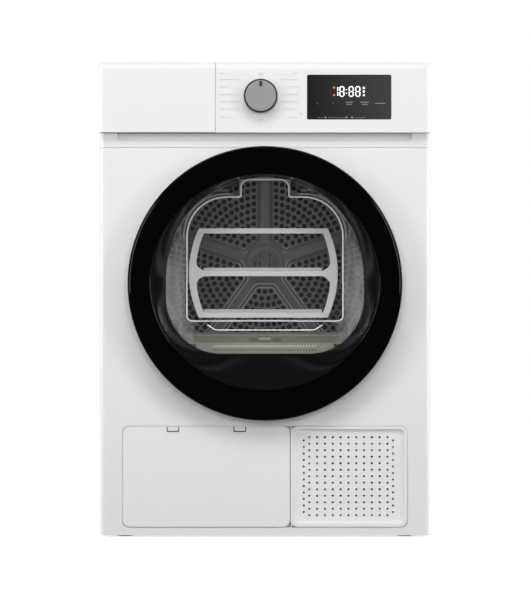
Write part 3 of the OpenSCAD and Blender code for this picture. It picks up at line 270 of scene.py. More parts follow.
# the star's edge lines glow faintly: a painted highlight on its pressed steel edges
STAR_EDGE_GLINT = glowing("star_edge_glint", grey(170), 0.12)
# the bowl's ridge glows: a painted highlight along the moulded ridge
RIDGE_GLINT_LOOK = glowing("bowl_ridge", grey(235), 0.4)
LIT_ORANGE = glowing("lit_orange", (0.7, 0.12, 0.03, 1), 0.45)
# the bowl's side walls: haze that is partly real, partly a painted highlight at the sides and painted shade
# at the top
BOWL_WALL_LOOK = streaked_haze_and_sheen(clear_plastic("bowl_wall", 0.1, (0.98, 0.985, 0.98, 1), 0.1, 1.15))
# the bowl's rim tube glows: a painted highlight along the rear edge of the clear bowl
BOWL_EDGE_GLINT = glowing("bowl_edge_glint", grey(215), 0.22)
# the display glass gets lighter towards +X: a painted reflection
DISPLAY_GLASS_SHEEN = reflection_painted_glass("display_glass_sheen", grey(30), grey(66), GLASS_LOW.x, GLASS_HIGH.x)
# near-black for a disc behind the drum's holes: painted shade
BLACK_PAINTED_SHADE = finish_of("painted_shade_black", grey(10), 0.9)


# ---------------------------------------------------------------- mesh helpers

def add_mesh(name, verts, faces, look, body, smooth=40):
    mesh = bpy.data.meshes.new(name)
    mesh.from_pydata([tuple(v) for v in verts], [], faces)
    return place_mesh(name, mesh, look, body, smooth)


def place_mesh(name, mesh, look, body, smooth=40):
    bm = bmesh.new()
    bm.from_mesh(mesh)
    bmesh.ops.recalc_face_normals(bm, faces=bm.faces)
    bm.to_mesh(mesh)
    bm.free()
    mesh.materials.clear()
    mesh.materials.append(look)
    mesh.shade_smooth()
    mesh.set_sharp_from_angle(angle=math.radians(smooth))
    piece = bpy.data.objects.new(name, mesh)
    bpy.context.scene.collection.objects.link(piece)
    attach(piece, body)
    return piece


def loft(name, loops, look, body, smooth=40, closed=True):
    """Skin over loops of equal length. Closed, the last loop joins the first. Open, both ends are capped."""
    count = len(loops[0])
    verts = [p for loop in loops for p in loop]
    faces = []
    rows = len(loops) if closed else len(loops) - 1
    for i in range(rows):
        a, b = i * count, (i + 1) % len(loops) * count
        for j in range(count):
            k = (j + 1) % count
            faces.append((a + j, a + k, b + k, b + j))
    if not closed:
        faces.append(tuple(range(count)))
        faces.append(tuple(reversed(range((len(loops) - 1) * count, len(loops) * count))))
    return add_mesh(name, verts, faces, look, body, smooth)


def fillet(points, steps=8):
    """The closed path through (x, z, radius) corners, rounded by their radii, as (x, z) points."""
    path = []
    for i, (x, z, radius) in enumerate(points):
        here = Vector((x, z))
        to_last = Vector(points[i - 1][:2]) - here
        to_next = Vector(points[(i + 1) % len(points)][:2]) - here
        if radius <= 0:
            path.append(here)
            continue
        half = to_last.angle(to_next) / 2
        reach = min(radius / math.tan(half), 0.78 * to_last.length, 0.78 * to_next.length)
        start, end = here + to_last.normalized() * reach, here + to_next.normalized() * reach
        inward = (to_last.normalized() + to_next.normalized()).normalized()
        centre = here + inward * reach / math.cos(half)
        first, last = (start - centre).normalized(), (end - centre).normalized()
        size = (start - centre).length
        path += [centre + first.slerp(last, s / steps, last).normalized() * size for s in range(steps + 1)]
    return path


def ellipse(a, b, centre, y, count):
    return [Vector((centre.x + a * math.sin(TURN * i / count), y,
                    centre.z + b * math.cos(TURN * i / count)))
            for i in range(count)]


def reach(outline, centre, angle):
    """Distance from centre to the closed outline of (x, z) points, along angle, measured from straight up."""
    direction = Vector((math.sin(angle), math.cos(angle)))
    best = 0
    for i, a in enumerate(outline):
        b = outline[(i + 1) % len(outline)]
        edge = b - a
        cross = direction.x * edge.y - direction.y * edge.x
        if abs(cross) < 1e-12:
            continue
        to_a = a - centre
        along = (to_a.x * edge.y - to_a.y * edge.x) / cross
        share = (to_a.x * direction.y - to_a.y * direction.x) / cross
        if along > 0 and -1e-6 <= share <= 1 + 1e-6:
            best = max(best, along)
    return best


def polar(outline, centre, angles):
    return [reach(outline, centre, a) for a in angles]


def ring_at(radii, angles, centre, y, grow=0.0):
    return [Vector((centre.x + (r + grow) * math.sin(a), y, centre.y + (r + grow) * math.cos(a)))
            for r, a in zip(radii, angles)]


def cut(piece, low, high):
    """Takes a box out of a closed piece."""
    size = Vector(high) - Vector(low)
    mesh = bpy.data.meshes.new("cutter")
    bm = bmesh.new()
    bmesh.ops.create_cube(bm, size=1, matrix=Matrix.Translation((Vector(low) + Vector(high)) / 2)
                          @ Matrix.Diagonal((*size, 1)))
    bm.to_mesh(mesh)
    bm.free()
    cutter = bpy.data.objects.new("cutter", mesh)
    bpy.context.scene.collection.objects.link(cutter)
    modifier = piece.modifiers.new("cut", "BOOLEAN")
    modifier.operation = "DIFFERENCE"
    modifier.object = cutter
    modifier.solver = "EXACT"
    bpy.context.view_layer.update()
    made = bpy.data.meshes.new_from_object(piece.evaluated_get(bpy.context.evaluated_depsgraph_get()))
    piece.modifiers.clear()
    piece.data = made
    made.set_sharp_from_angle(angle=math.radians(40))
    bpy.data.objects.remove(cutter)


def plate(name, outlines, y0, y1, look, body, bevel=0.0, smooth=40):
    """A flat piece from y0, its front, to y1, with the first outline as its edge and the others as holes."""
    curve = bpy.data.curves.new(name, "CURVE")
    curve.dimensions = "2D"
    curve.fill_mode = "BOTH"
    curve.extrude = (y1 - y0) / 2 - bevel
    curve.bevel_depth = bevel
    curve.bevel_resolution = 2
    curve.offset = -bevel
    for outline in outlines:
        spline = curve.splines.new("POLY")
        spline.points.add(len(outline) - 1)
        for point, (x, z) in zip(spline.points, outline):
            point.co = (x, z, 0, 1)
        spline.use_cyclic_u = True
    maker = bpy.data.objects.new("maker", curve)
    bpy.context.scene.collection.objects.link(maker)
    bpy.context.view_layer.update()
    mesh = bpy.data.meshes.new_from_object(maker.evaluated_get(bpy.context.evaluated_depsgraph_get()))
    bpy.data.objects.remove(maker)
    mesh.name = name
    mesh.transform(Matrix.Translation((0, (y0 + y1) / 2, 0)) @ Matrix.Rotation(math.pi / 2, 4, "X"))
    return place_mesh(name, mesh, look, body, smooth)


def rect(x, z, width, height, radius=0.0):
    return fillet([(x - width / 2, z - height / 2, radius), (x + width / 2, z - height / 2, radius),
                   (x + width / 2, z + height / 2, radius), (x - width / 2, z + height / 2, radius)], 4)


def circle(x, z, radius, count=24):
    return [Vector((x + radius * math.cos(TURN * i / count), z + radius * math.sin(TURN * i / count)))
            for i in range(count)]


def prisms(name, outlines, y0, y1, look, body):
    """Many small flat marks in one piece."""
    verts, faces = [], []
    for outline in outlines:
        start, count = len(verts), len(outline)
        verts += [Vector((x, y0, z)) for x, z in outline] + [Vector((x, y1, z)) for x, z in outline]
        faces.append(tuple(range(start, start + count)))
        faces.append(tuple(reversed(range(start + count, start + 2 * count))))
        for j in range(count):
            k = (j + 1) % count
            faces.append((start + j, start + count + j, start + count + k, start + k))
    return add_mesh(name, verts, faces, look, body)


def stroke(x0, z0, x1, z1, width):
    """A straight mark from one point to another."""
    a, b = Vector((x0, z0)), Vector((x1, z1))
    side = (b - a).normalized().orthogonal() * width / 2
    return [a - side, b - side, b + side, a + side]


def tube(name, points, radius, look, body, cyclic=False):
    curve = bpy.data.curves.new(name, "CURVE")
    curve.dimensions = "3D"
    curve.bevel_depth = radius
    curve.bevel_resolution = 3
    spline = curve.splines.new("POLY")
    spline.points.add(len(points) - 1)
    for point, place in zip(spline.points, points):
        point.co = (*place, 1)
    spline.use_cyclic_u = cyclic
    curve.materials.append(look)
    piece = bpy.data.objects.new(name, curve)
    bpy.context.scene.collection.objects.link(piece)
    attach(piece, body)
    return piece


# ---------------------------------------------------------------- door

LOOP = 192
RING_A = 202.6 * MM
RING_B = 190.5 * MM
RING_SHIFT = 3 * MM
WINDOW_R = 179 * MM
WINDOW_Z = DOOR.z + 11.5 * MM
WINDOW_DROP = 137.5 * MM
WINDOW_CORNER = 100 * MM
LOFT_CENTRE = Vector((0, DOOR.z + 20 * MM))


def window_outline():
    sill, flat = WINDOW_Z - WINDOW_DROP, WINDOW_R - WINDOW_CORNER
    corner_z = sill + WINDOW_CORNER
    path = [Vector((WINDOW_R * math.cos(a), WINDOW_Z + WINDOW_R * math.sin(a)))
            for a in [math.pi * i / 60 for i in range(61)]]
    path += [Vector((-flat - WINDOW_CORNER * math.cos(a), corner_z - WINDOW_CORNER * math.sin(a)))
             for a in [math.pi / 2 * i / 24 for i in range(25)]]
    path += [Vector((flat + WINDOW_CORNER * math.sin(a), corner_z - WINDOW_CORNER * math.cos(a)))
             for a in [math.pi / 2 * i / 24 for i in range(25)]]
    return path


def even_angles(count=LOOP):
    return [TURN * i / count for i in range(count)]


def build_ring():
    """The gloss ring: a round outer edge, a flat face, and an oval inner edge."""
    front, back = RING_LOW.y, RING_HIGH.y
    inner = Vector((0, 0, DOOR.z + RING_SHIFT))
    loops = [ellipse(DOOR_R - 1.2 * MM, DOOR_R - 1.2 * MM, DOOR, back - 0.3 * MM, LOOP)]
    edge = 7 * MM
    for i in range(8):
        a = math.pi / 2 * i / 7
        r = DOOR_R - edge + edge * math.cos(a)
        loops.append(ellipse(r, r, DOOR, front + edge - edge * math.sin(a), LOOP))
    lip = 3 * MM
    for i in range(7):
        a = math.pi / 2 * i / 6
        grow = lip - lip * math.sin(a)
        y = front + lip - lip * math.cos(a)
        loops.append(ellipse(RING_A + grow, RING_B + grow, inner, y, LOOP))
    loops.append(ellipse(RING_A + 1 * MM, RING_B + 1 * MM, inner, front + 9 * MM, LOOP))
    loops.append(ellipse(RING_A + 4 * MM, RING_B + 4 * MM, inner, front + 9 * MM, LOOP))
    loops.append(ellipse(RING_A + 5 * MM, RING_B + 5 * MM, inner, front + 4 * MM, LOOP))
    loops.append(ellipse(DOOR_R - 9 * MM, DOOR_R - 9 * MM, DOOR, front + 4 * MM, LOOP))
    loops.append(ellipse(DOOR_R - 3.5 * MM, DOOR_R - 3.5 * MM, DOOR, front + 9 * MM, LOOP))
    loops.append(ellipse(DOOR_R - 3.5 * MM, DOOR_R - 3.5 * MM, DOOR, back - 0.3 * MM, LOOP))
    ring = loft("door_ring_gloss", loops, LOOKS["black_gloss"], "door", 35)
    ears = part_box("hinge_bracket")
    for side in (-1, 1):
        z = DOOR.z + side * 42 * MM
        cut(ring, (-DOOR_R - 2 * MM, front + 8 * MM, z - 4 * MM), (-DOOR_R + 9 * MM, ears[1].y, z + 4 * MM))
    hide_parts("door_ring")


def build_funnel():
    """The dark funnel: an oval mouth that narrows to the window, and the plug and flange behind it."""
    angles = even_angles()
    inner = Vector((0, 0, DOOR.z + RING_SHIFT))
    mouth = [Vector((p.x, p.z)) for p in ellipse(RING_A, RING_B, inner, 0, LOOP)]
    radii_mouth = polar(mouth, LOFT_CENTRE, angles)
    radii_window = polar(window_outline(), LOFT_CENTRE, angles)
    disc = [Vector((p.x, p.z)) for p in ellipse(1, 1, DOOR, 0, LOOP)]
    back = FUNNEL_HIGH.y
    y0 = RING_LOW.y + 7 * MM
    loops = []
    steps = 14
    for i in range(steps + 1):
        t = i / steps
        ease = t ** 0.85
        radii = [m * (1 - ease) + w * ease for m, w in zip(radii_mouth, radii_window)]
        loops.append(ring_at(radii, angles, LOFT_CENTRE, y0 + (back - 3 * MM - y0) * t, 0.7 * MM))
    loops.append(ring_at(radii_window, angles, LOFT_CENTRE, back - 1.2 * MM, 0.2 * MM))
    loops.append(ring_at(radii_window, angles, LOFT_CENTRE, back, 1.5 * MM))
    plug_r = 195.5 * MM
    flange_r = 240.5 * MM
    flange_y = FRONT_LOW.y - 3 * MM

    def disc_loop(radius, y):
        scaled = [Vector((p.x * radius, DOOR.z + (p.y - DOOR.z) * radius)) for p in disc]
        return ring_at(polar(scaled, LOFT_CENTRE, angles), angles, LOFT_CENTRE, y)

    loops.append(disc_loop(plug_r - 2 * MM, back))
    loops.append(disc_loop(plug_r, back - 2 * MM))
    loops.append(disc_loop(plug_r, flange_y))
    loops.append(disc_loop(flange_r, flange_y))
    loops.append(disc_loop(flange_r, flange_y - 2.5 * MM))
    loops.append(disc_loop(208 * MM, flange_y - 2.5 * MM))
    loops.append(ring_at(radii_mouth, angles, LOFT_CENTRE, y0 + 2 * MM, 3.5 * MM))
    funnel = loft("door_funnel_gloss", loops, FUNNEL_LOOK, "door", 35)
    cut(funnel, (-DOOR_R, flange_y - 12 * MM, DOOR.z - 50 * MM),
        (-DOOR_R + 28 * MM, flange_y + 1 * MM, DOOR.z + 50 * MM))
    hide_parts("door_funnel")


FUNNEL_LOOK = finish_of("funnel_black", grey(14), 0.2, spread=0.1, rough_spread=0.03, grain=40, bump=0.004,
                        Specular_IOR_Level=0.25)


def bowl_rear_outline(grow=0.0):
    """The bowl's rear face: a flat base, an arched top and a raised tab in the middle."""
    half, base, arch = 143 * MM + grow, BOWL_REAR_Z0 - grow, DOOR.z + 157.5 * MM + grow
    tab_half, tab_top = 44 * MM + grow, DOOR.z + 189 * MM + grow
    corners = [(-half, base, 10 * MM), (-half, arch, 73 * MM), (-tab_half, arch, 4 * MM),
               (-tab_half, tab_top, 15 * MM),
               (tab_half, tab_top, 15 * MM), (tab_half, arch, 4 * MM), (half, arch, 73 * MM),
               (half, base, 10 * MM)]
    return fillet(corners, 10)


BOWL_REAR_Z0 = DOOR.z - 70 * MM
# how far the wall has moved from the window's outline (0) to the rear outline (1), by depth
BOWL_WALL = ((0.0, 0.0), (0.08, 0.04), (0.2, 0.12), (0.34, 0.24), (0.5, 0.4), (0.66, 0.58), (0.8, 0.76),
             (0.9, 0.89),
             (0.96, 0.96), (1.0, 1.0))


def corner_angles(*outlines):
    """Even angles, and the angles of every corner of the outlines, so that no corner is cut off."""
    found = set(round(a, 5) for a in even_angles(144))
    for outline in outlines:
        for p in outline:
            found.add(round(math.atan2(p.x - LOFT_CENTRE.x, p.y - LOFT_CENTRE.y) % TURN, 5))
    kept = []
    for a in sorted(found):
        if not kept or a - kept[-1] > 0.002:
            kept.append(a)
    return kept


def bowl_skin(wall_rings, radii_rear, angles, grow, rear_y):
    """The loops of one side of the bowl: down its wall, and then in over its rear face."""
    window_radii, front = wall_rings
    made = []
    for t, share in BOWL_WALL:
        radii = [w * (1 - share) + r * share for w, r in zip(window_radii, radii_rear)]
        made.append(ring_at(radii, angles, LOFT_CENTRE, front + (rear_y - front) * t, grow))
    for inset, push in ((2, 0.5), (4, 0.8), (60, 0.8)):
        made.append(ring_at([max(r * 0.3, r - inset * MM) for r in radii_rear], angles, LOFT_CENTRE,
                            rear_y + push * MM - 0.8 * MM, grow))
    return made


def bowl_faces(count, loop_count, split):
    """Quads between the loops, apart from the pair at split, where the bowl's two flat rear faces go."""
    faces = []
    for i in range(loop_count):
        if i == split:
            continue
        a, b = i * count, (i + 1) % loop_count * count
        faces += [(a + j, a + (j + 1) % count, b + (j + 1) % count, b + j) for j in range(count)]
    faces.append(tuple(split * count + j for j in range(count)))
    faces.append(tuple((split + 1) * count + j for j in reversed(range(count))))
    return faces


def build_bowl():
    wall = 2.6 * MM
    rear = bowl_rear_outline()
    angles = corner_angles(rear)
    radii_window = polar(window_outline(), LOFT_CENTRE, angles)
    radii_rear = polar(rear, LOFT_CENTRE, angles)
    front, back = BOWL_LOW.y + 3 * MM, BOWL_HIGH.y
    flange = [ring_at(radii_window, angles, LOFT_CENTRE, BOWL_LOW.y, 7 * MM),
              ring_at(radii_window, angles, LOFT_CENTRE, front - 0.2 * MM, 7 * MM)]
    outer = bowl_skin((radii_window, front), radii_rear, angles, 1.5 * MM, back)
    inner = bowl_skin((radii_window, front), radii_rear, angles, 1.5 * MM - wall, back - wall)
    loops = flange + outer + list(reversed(inner)) + \
        [ring_at(radii_window, angles, LOFT_CENTRE, BOWL_LOW.y, -1.1 * MM)]
    faces = bowl_faces(len(angles), len(loops), 1 + len(outer))
    verts = [p for loop in loops for p in loop]
    bowl = add_mesh("door_bowl_clear", verts, faces, LOOKS["clear_bowl"], "door", 50)
    bowl.data.materials.append(BOWL_WALL_LOOK)
    for face in bowl.data.polygons:
        face.material_index = int(abs(face.normal.y) < 0.93)
    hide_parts("door_bowl")
    rim = ring_at([r - 1.6 * MM for r in radii_rear], angles, LOFT_CENTRE, back - 1.7 * MM, 0)
    # a glowing tube along the bowl's rear rim: a painted highlight
    tube("bowl_edge_glint", rim, 1.6 * MM, BOWL_EDGE_GLINT, "door", True)
    # the ridge is real, and its glow is a painted highlight
    tube("bowl_ridge", bowl_ridge(front, back - front), 0.9 * MM, RIDGE_GLINT_LOOK, "door", False)


def bowl_ridge(front, depth):
    """A low moulded ridge across the bowl's lower wall, which turns up at both ends and stays on the wall;
    its glow is a painted highlight along it.
    """
    half, low, lift = 104 * MM, BOWL_REAR_Z0 - 15 * MM, 9 * MM
    sill = WINDOW_Z - WINDOW_DROP
    path = []
    for i in range(41):
        x = half * (i / 20 - 1)
        z = low + lift * max(0, abs(x) / half - 0.86) / 0.14
        share = (z - sill) / (BOWL_REAR_Z0 - sill)
        (t0, s0), (t1, s1) = next((a, b) for a, b in zip(BOWL_WALL, BOWL_WALL[1:]) if a[1] <= share <= b[1])
        t = t0 + (t1 - t0) * (share - s0) / (s1 - s0)
        path.append(Vector((x, front + depth * t, z)))
    return path


def build_guard():
    """The light grey frame across the bowl, with two windows and bulging sides."""
    z0, z1 = GUARD_LOW.z, GUARD_HIGH.z
    half, end_half = 135 * MM, 117 * MM
    shift, bar, side = -3 * MM, 9.6 * MM, 13 * MM
    cross = DOOR.z + 17 * MM
    mid_z = (z0 + z1) / 2

    def bulge(z, width):
        return width - (half - end_half) * ((z - mid_z) / (mid_z - z0)) ** 2

    def barrel(za, zb, width, radius):
        steps = 12
        right = [(shift + bulge(za + (zb - za) * i / steps, width), za + (zb - za) * i / steps,
                  radius if i in (0, steps)
                  else 0) for i in range(steps + 1)]
        left = [(2 * shift - x, z, r) for x, z, r in reversed(right)]
        return fillet(right + left, 6)

    def hole(za, zb, tight_end):
        path = []
        steps = 12
        for i in range(steps + 1):
            t = i / steps
            z = za + (zb - za) * t
            near = t if tight_end == "low" else 1 - t
            flare = 14 * MM * max(0, 1 - near / 0.22) ** 2
            path.append((shift + bulge(z, half - side) - flare, z))
        left = [(2 * shift - x, z) for x, z in reversed(path)]
        return [Vector(p) for p in path + left]

    outlines = [barrel(z0, z1, half, 2 * MM), hole(z0 + bar, cross - bar / 2, "high"),
                hole(cross + bar / 2, z1 - bar, "low")]
    guard = plate("bowl_guard_frame", outlines, GUARD_LOW.y, GUARD_HIGH.y - 0.3 * MM, LOOKS["grey_guard"],
                  "door",
                  0.8 * MM)
    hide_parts("bowl_guard")
    ledges = [rect(shift - 1 * MM, z + 6.4 * MM, 214 * MM, 5.6 * MM,
                   0.5 * MM) for z in (z0 + bar / 2 + 1.5 * MM, cross + 1.5 * MM)]
    prisms("guard_ledges", ledges, GUARD_LOW.y + 3 * MM, GUARD_LOW.y + 5 * MM, LEDGE_LOOK, "door")


LEDGE_LOOK = clear_plastic("ledge_plastic", 0.62, (0.9, 0.9, 0.86, 1), 0.4)


# ---------------------------------------------------------------- drum

def star_outline(half_width, chord, reach_r):
    """Five arms around the hub, joined by straight webs with round corners."""
    points = []
    for sector in range(5):
        axis = math.pi / 2 + math.radians(36 + 72 * sector)
        out, along = Vector((math.cos(axis), math.sin(axis))), Vector((-math.sin(axis), math.cos(axis)))
        tan, cos = math.tan(math.radians(36)), math.cos(math.radians(36))
        far_u = reach_r * math.cos(math.radians(36) - math.asin(half_width / reach_r))
        near_v = tan * chord - half_width / cos
        far_v = tan * far_u - half_width / cos
        for u, v, radius in ((far_u, -far_v, 0), (chord, -near_v, 12 * MM), (chord, near_v, 12 * MM),
                             (far_u, far_v, 0)):
            p = out * u + along * v
            points.append((p.x, DRUM.z + p.y, radius))
    return fillet(points, 6)


def low_runs(outline, top):
    """The stretches of a closed outline that lie below a height."""
    start = max(range(len(outline)), key=lambda i: outline[i].y)
    runs, run = [], []
    for p in outline[start:] + outline[:start]:
        if p.y < top:
            run.append(p)
        elif run:
            runs.append(run)
            run = []
    return [r for r in runs + [run] if len(r) > 1]


# rings of holes in the drum's back: their number, the first radius, and the pitch outwards and along a ring
HOLE_RINGS, FIRST_RING = 16, 56.3 * MM
RING_PITCH, HOLE_PITCH, HOLE_R = 13.2 * MM, 12.4 * MM, 4.9 * MM
ARM_CLEARANCE = 22.5 * MM
# half widths, web distances and reach of the star, at its foot and at its top
STAR_FOOT = (15 * MM, 48 * MM, 262 * MM)
STAR_TOP = (8.5 * MM, 40.5 * MM, 259 * MM)
STAR_RISE = 2 * MM


def build_drum_back():
    plate_y = BACK_HIGH.y - 1.2 * MM
    edge_r = DRUM_R - 1.3 * MM
    holes = []
    for k in range(HOLE_RINGS):
        r = FIRST_RING + k * RING_PITCH
        room = math.radians(36) - math.asin(ARM_CLEARANCE / r)
        count = round(2 * room * r / HOLE_PITCH)
        for sector in range(5):
            axis = math.pi / 2 + math.radians(36 + 72 * sector)
            for j in range(count + 1):
                a = axis + room * (2 * j / count - 1)
                holes.append(circle(r * math.cos(a), DRUM.z + r * math.sin(a), HOLE_R, 14))
    face = plate("drum_back_face", [circle(0, DRUM.z, edge_r, 128)] + holes, plate_y, BACK_HIGH.y,
                 DRUM_FACE, "drum")
    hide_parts("drum_back")
    # a black disc just behind the holed plate: painted shade, so that the holes look dark
    turned("drum_back_shade_disc", DRUM, ((0, 0), (edge_r / MM - 1, 0), (edge_r / MM - 1, 0.6), (0, 0.6)),
           BACK_HIGH.y - 0.2 * MM,
           BLACK_PAINTED_SHADE, "drum")
    top_y = BACK_LOW.y - STAR_RISE
    base, top = star_outline(*STAR_FOOT), star_outline(*STAR_TOP)
    shoulder = [a.lerp(b, 0.85) for a, b in zip(base, top)]
    loops = [[Vector((p.x, y, p.y)) for p in outline] for outline, y in
             ((base, plate_y + 0.2 * MM), (base, plate_y - 0.4 * MM), (shoulder, top_y + 0.5 * MM),
              (top, top_y))]
    loft("drum_star", loops, DRUM_FACE, "drum", 25, closed=False)
    # thin glowing tubes along the star's lower edges: painted highlights on its pressed edges
    for name, outline, y in (("base", base, plate_y - 0.4 * MM), ("top", top, top_y + 0.2 * MM)):
        for i, run in enumerate(low_runs(outline, DRUM.z + 34 * MM)):
            tube(f"star_edge_glint_{name}_{i}", [Vector((p.x, y, p.y)) for p in run], 0.8 * MM, STAR_EDGE_GLINT, "drum",
                 False)
    turned("drum_hub", DRUM, ((0, 0), (25, 0), (26.2, -0.8), (27.4, 0), (37, 0), (38.4, -1.2), (39.8, 0),
                              (40.2, 2), (0, 2)),
           top_y - 0.2 * MM, DRUM_FACE, "drum")
    heads = [circle(19.5 * MM * math.cos(a), DRUM.z + 19.5 * MM * math.sin(a), 3.2 * MM, 6)
             for a in [math.radians(60 * i) for i in range(6)]]
    slots = [fillet([(s * 9.8 * MM - 1.8 * MM, DRUM.z - 5 * MM, 1.7 * MM),
                     (s * 9.8 * MM + 1.8 * MM, DRUM.z - 5 * MM, 1.7 * MM),
                     (s * 9.8 * MM + 1.8 * MM, DRUM.z + 5 * MM, 1.7 * MM),
                     (s * 9.8 * MM - 1.8 * MM, DRUM.z + 5 * MM, 1.7 * MM)], 4)
             for s in (-1, 1)]
    prisms("drum_hub_screws", heads + slots, top_y - 2 * MM, top_y + 1 * MM, LOOKS["bright_steel"], "drum")


DRUM_R = (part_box("drum_shell")[1].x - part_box("drum_shell")[0].x) / 2


def turned(name, centre, profile, y0, look, body, count=96, smooth=35):
    """A piece turned about Y: profile is (radius, y) in mm from the axis outwards, y from y0."""
    loops = [ellipse(max(r, 0.01) * MM, max(r, 0.01) * MM, centre, y0 + y * MM, count) for r, y in profile]
    return loft(name, loops, look, body, smooth, closed=False)


# ---------------------------------------------------------------- knob, display, prints

def build_knob():
    x, z = mid("program_knob").x, mid("program_knob").z
    centre = Vector((x, 0, z))
    front = KNOB_LOW.y
    back = PANEL_LOW.y - 1 * MM
    depth = (back - front) / MM
    r = (KNOB_HIGH.x - KNOB_LOW.x) / 2 / MM
    rim = ((0, depth), (0, 2), (r - 2.6, 2), (r - 2.6, 0.9), (r - 2.0, 0.25), (r - 1.0, 0.3),
           (r - 0.3, 1.2), (r, 3),
           (r, depth - 0.8), (r - 0.8, depth))
    turned("knob_rim", centre, tuple(reversed(rim)), front, LOOKS["black_plastic"], "knob")
    slot = fillet([(x - 2.7 * MM, z + 16 * MM, 2.6 * MM), (x + 2.7 * MM, z + 16 * MM, 2.6 * MM),
                   (x + 2.7 * MM, z + 26.4 * MM, 2.6 * MM), (x - 2.7 * MM, z + 26.4 * MM, 2.6 * MM)], 5)
    face = plate("knob_face", [circle(x, z, (r - 2.8) * MM, 96), slot], front + 0.2 * MM, front + 1.6 * MM,
                 LOOKS["knob_metal"], "knob", 0.15 * MM)
    prisms("knob_pointer", [slot], front + 1.2 * MM, front + 1.7 * MM, DARK_MARK, "knob")
    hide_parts("program_knob")
    turned("knob_axle", centre, ((0, 0), (3, 0), (3, 16), (0, 16)), back - 1 * MM, LOOKS["bright_steel"],
           "knob", 24)


SEGMENTS = {"1": "bc", "8": "abcdefg"}


def digit(x, z, width, height, mark):
    """The lit bars of a seven-segment digit, with its centre at (x, z)."""
    thick, gap = 2.0 * MM, 0.35 * MM
    w, h = width / 2 - thick / 2, height / 2 - thick / 2
    ends = {"a": ((-w, h), (w, h)), "b": ((w, h), (w, 0)), "c": ((w, 0), (w, -h)), "d": ((-w, -h), (w, -h)),
            "e": ((-w, 0), (-w, -h)), "f": ((-w, h), (-w, 0)), "g": ((-w, 0), (w, 0))}
    bars = []
    for key in SEGMENTS[mark]:
        a, b = (Vector(p) + Vector((x, z)) for p in ends[key])
        step = (b - a).normalized() * (gap + thick * 0.25)
        bars.append(stroke(*(a + step), *(b - step), thick))
    return bars


def build_display():
    centre = (GLASS_LOW + GLASS_HIGH) / 2
    x, z, y = centre.x, centre.z, GLASS_LOW.y - 0.05 * MM
    lit_z, height = z + 9.95 * MM, 19 * MM
    bars = digit(x - 24 * MM, lit_z, 9.2 * MM, height, "1")
    for dx in (-13.0, 3.5, 15.4):
        bars += digit(x + dx * MM, lit_z, 9.2 * MM, height, "8")
    bars += [rect(x - 5 * MM, lit_z + dz * MM, 2 * MM, 2 * MM, 0.5 * MM) for dz in (3.2, -3.2)]
    bars += [circle(x + 26 * MM, z + 16.4 * MM, 2.3 * MM, 12),
             rect(x + 26 * MM, z + 9.8 * MM, 3.4 * MM, 3.6 * MM, 0.6 * MM),
             circle(x + 26 * MM, z + 3.3 * MM, 2.0 * MM, 6)]
    prisms("display_digits", bars, y, y + 0.15 * MM, LIT_WHITE, "cabinet")
    icons = [circle(x - 27 * MM, z + 16.9 * MM, 2.1 * MM, 12),
             rect(x - 27 * MM, z + 3.8 * MM, 3.6 * MM, 3.2 * MM, 1 * MM)]
    prisms("display_icons", icons, y, y + 0.15 * MM, LIT_ORANGE, "cabinet")
    keys = [mid(f"key_{i}") for i in range(1, 6)]
    marks = []
    for i, key in enumerate(keys):
        top = key.z + 12 * MM
        if i < 2:
            marks.append(rect(key.x - 1.5 * MM, top, 1.6 * MM, 1 * MM))
        elif i < 4:
            marks += [rect(key.x, top + 2.2 * MM, (13 + 3 * (i - 2)) * MM, 1.1 * MM),
                      rect(key.x, top - 1.6 * MM, 11 * MM, 1.1 * MM)]
        else:
            marks.append(rect(key.x, top, 18 * MM, 1.1 * MM))
    line = keys[0].z - 13.4 * MM
    for a, b in ((-55.6, -46.4), (-37.8, -28.0), (-26.8, -7.6), (7.6, 27.8)):
        marks.append(stroke(x + a * MM, line, x + b * MM, line, 0.5 * MM))
    for a in (-55.6, -27.4, 27.8):
        marks.append(stroke(x + a * MM, line, x + a * MM, line + 2 * MM, 0.5 * MM))
    for a in (-42.3, -5.0, 5.0):
        marks.append(circle(x + a * MM, line + 0.4 * MM, 1.7 * MM, 8))
    prisms("display_prints", marks, y, y + 0.15 * MM, GLASS_PRINT, "cabinet")


ROWS = ((39.6, 11), (27.9, 37), (15.2, 19), (2.0, 25), (-11.3, 37), (-24.3, 34), (-38.7, 20))


def build_prints():
    """Generic marks around the knob in place of its lettering."""
    x, z = mid("program_knob").x, mid("program_knob").z
    y = PANEL_LOW.y - 0.06 * MM
    left, right = x - 74.5 * MM, x + 66 * MM
    marks = []
    for dz, length in ROWS:
        row = z + dz * MM
        outer = math.sqrt(max(0, 33.0 ** 2 - dz ** 2)) * MM
        bend = 22 * MM if abs(dz) > 35 else outer + 4 * MM
        for side, edge in ((-1, left), (1, right)):
            label = length * (1 if side < 0 else 0.8) * MM
            marks.append(rect(edge - side * label / 2, row + 1.6 * MM, label, 1.3 * MM))
            end = x + side * bend
            marks.append(stroke(edge, row - 0.7 * MM, end, row - 0.7 * MM, 0.35 * MM))
            if abs(dz) > 35:
                lift = -math.copysign(7 * MM, dz)
                marks.append(stroke(end, row - 0.7 * MM, end - side * 7 * MM, row - 0.7 * MM + lift,
                                    0.35 * MM))
    marks.append(stroke(right + 2.5 * MM, z + 20 * MM, right + 2.5 * MM, z - 42 * MM, 0.35 * MM))
    marks.append(rect(right + 7 * MM, z - 32 * MM, 3 * MM, 3 * MM, 1 * MM))
    marks += [circle(x - 2 * MM, z + 39.5 * MM, 1.8 * MM, 12),
              circle(x + 2.6 * MM, z + 39.5 * MM, 1.8 * MM, 12),
              rect(x, z - 42 * MM, 12 * MM, 1.4 * MM)]
    prisms("panel_prints", marks, y, y + 0.1 * MM, PRINT, "cabinet")


# ---------------------------------------------------------------- lint filter

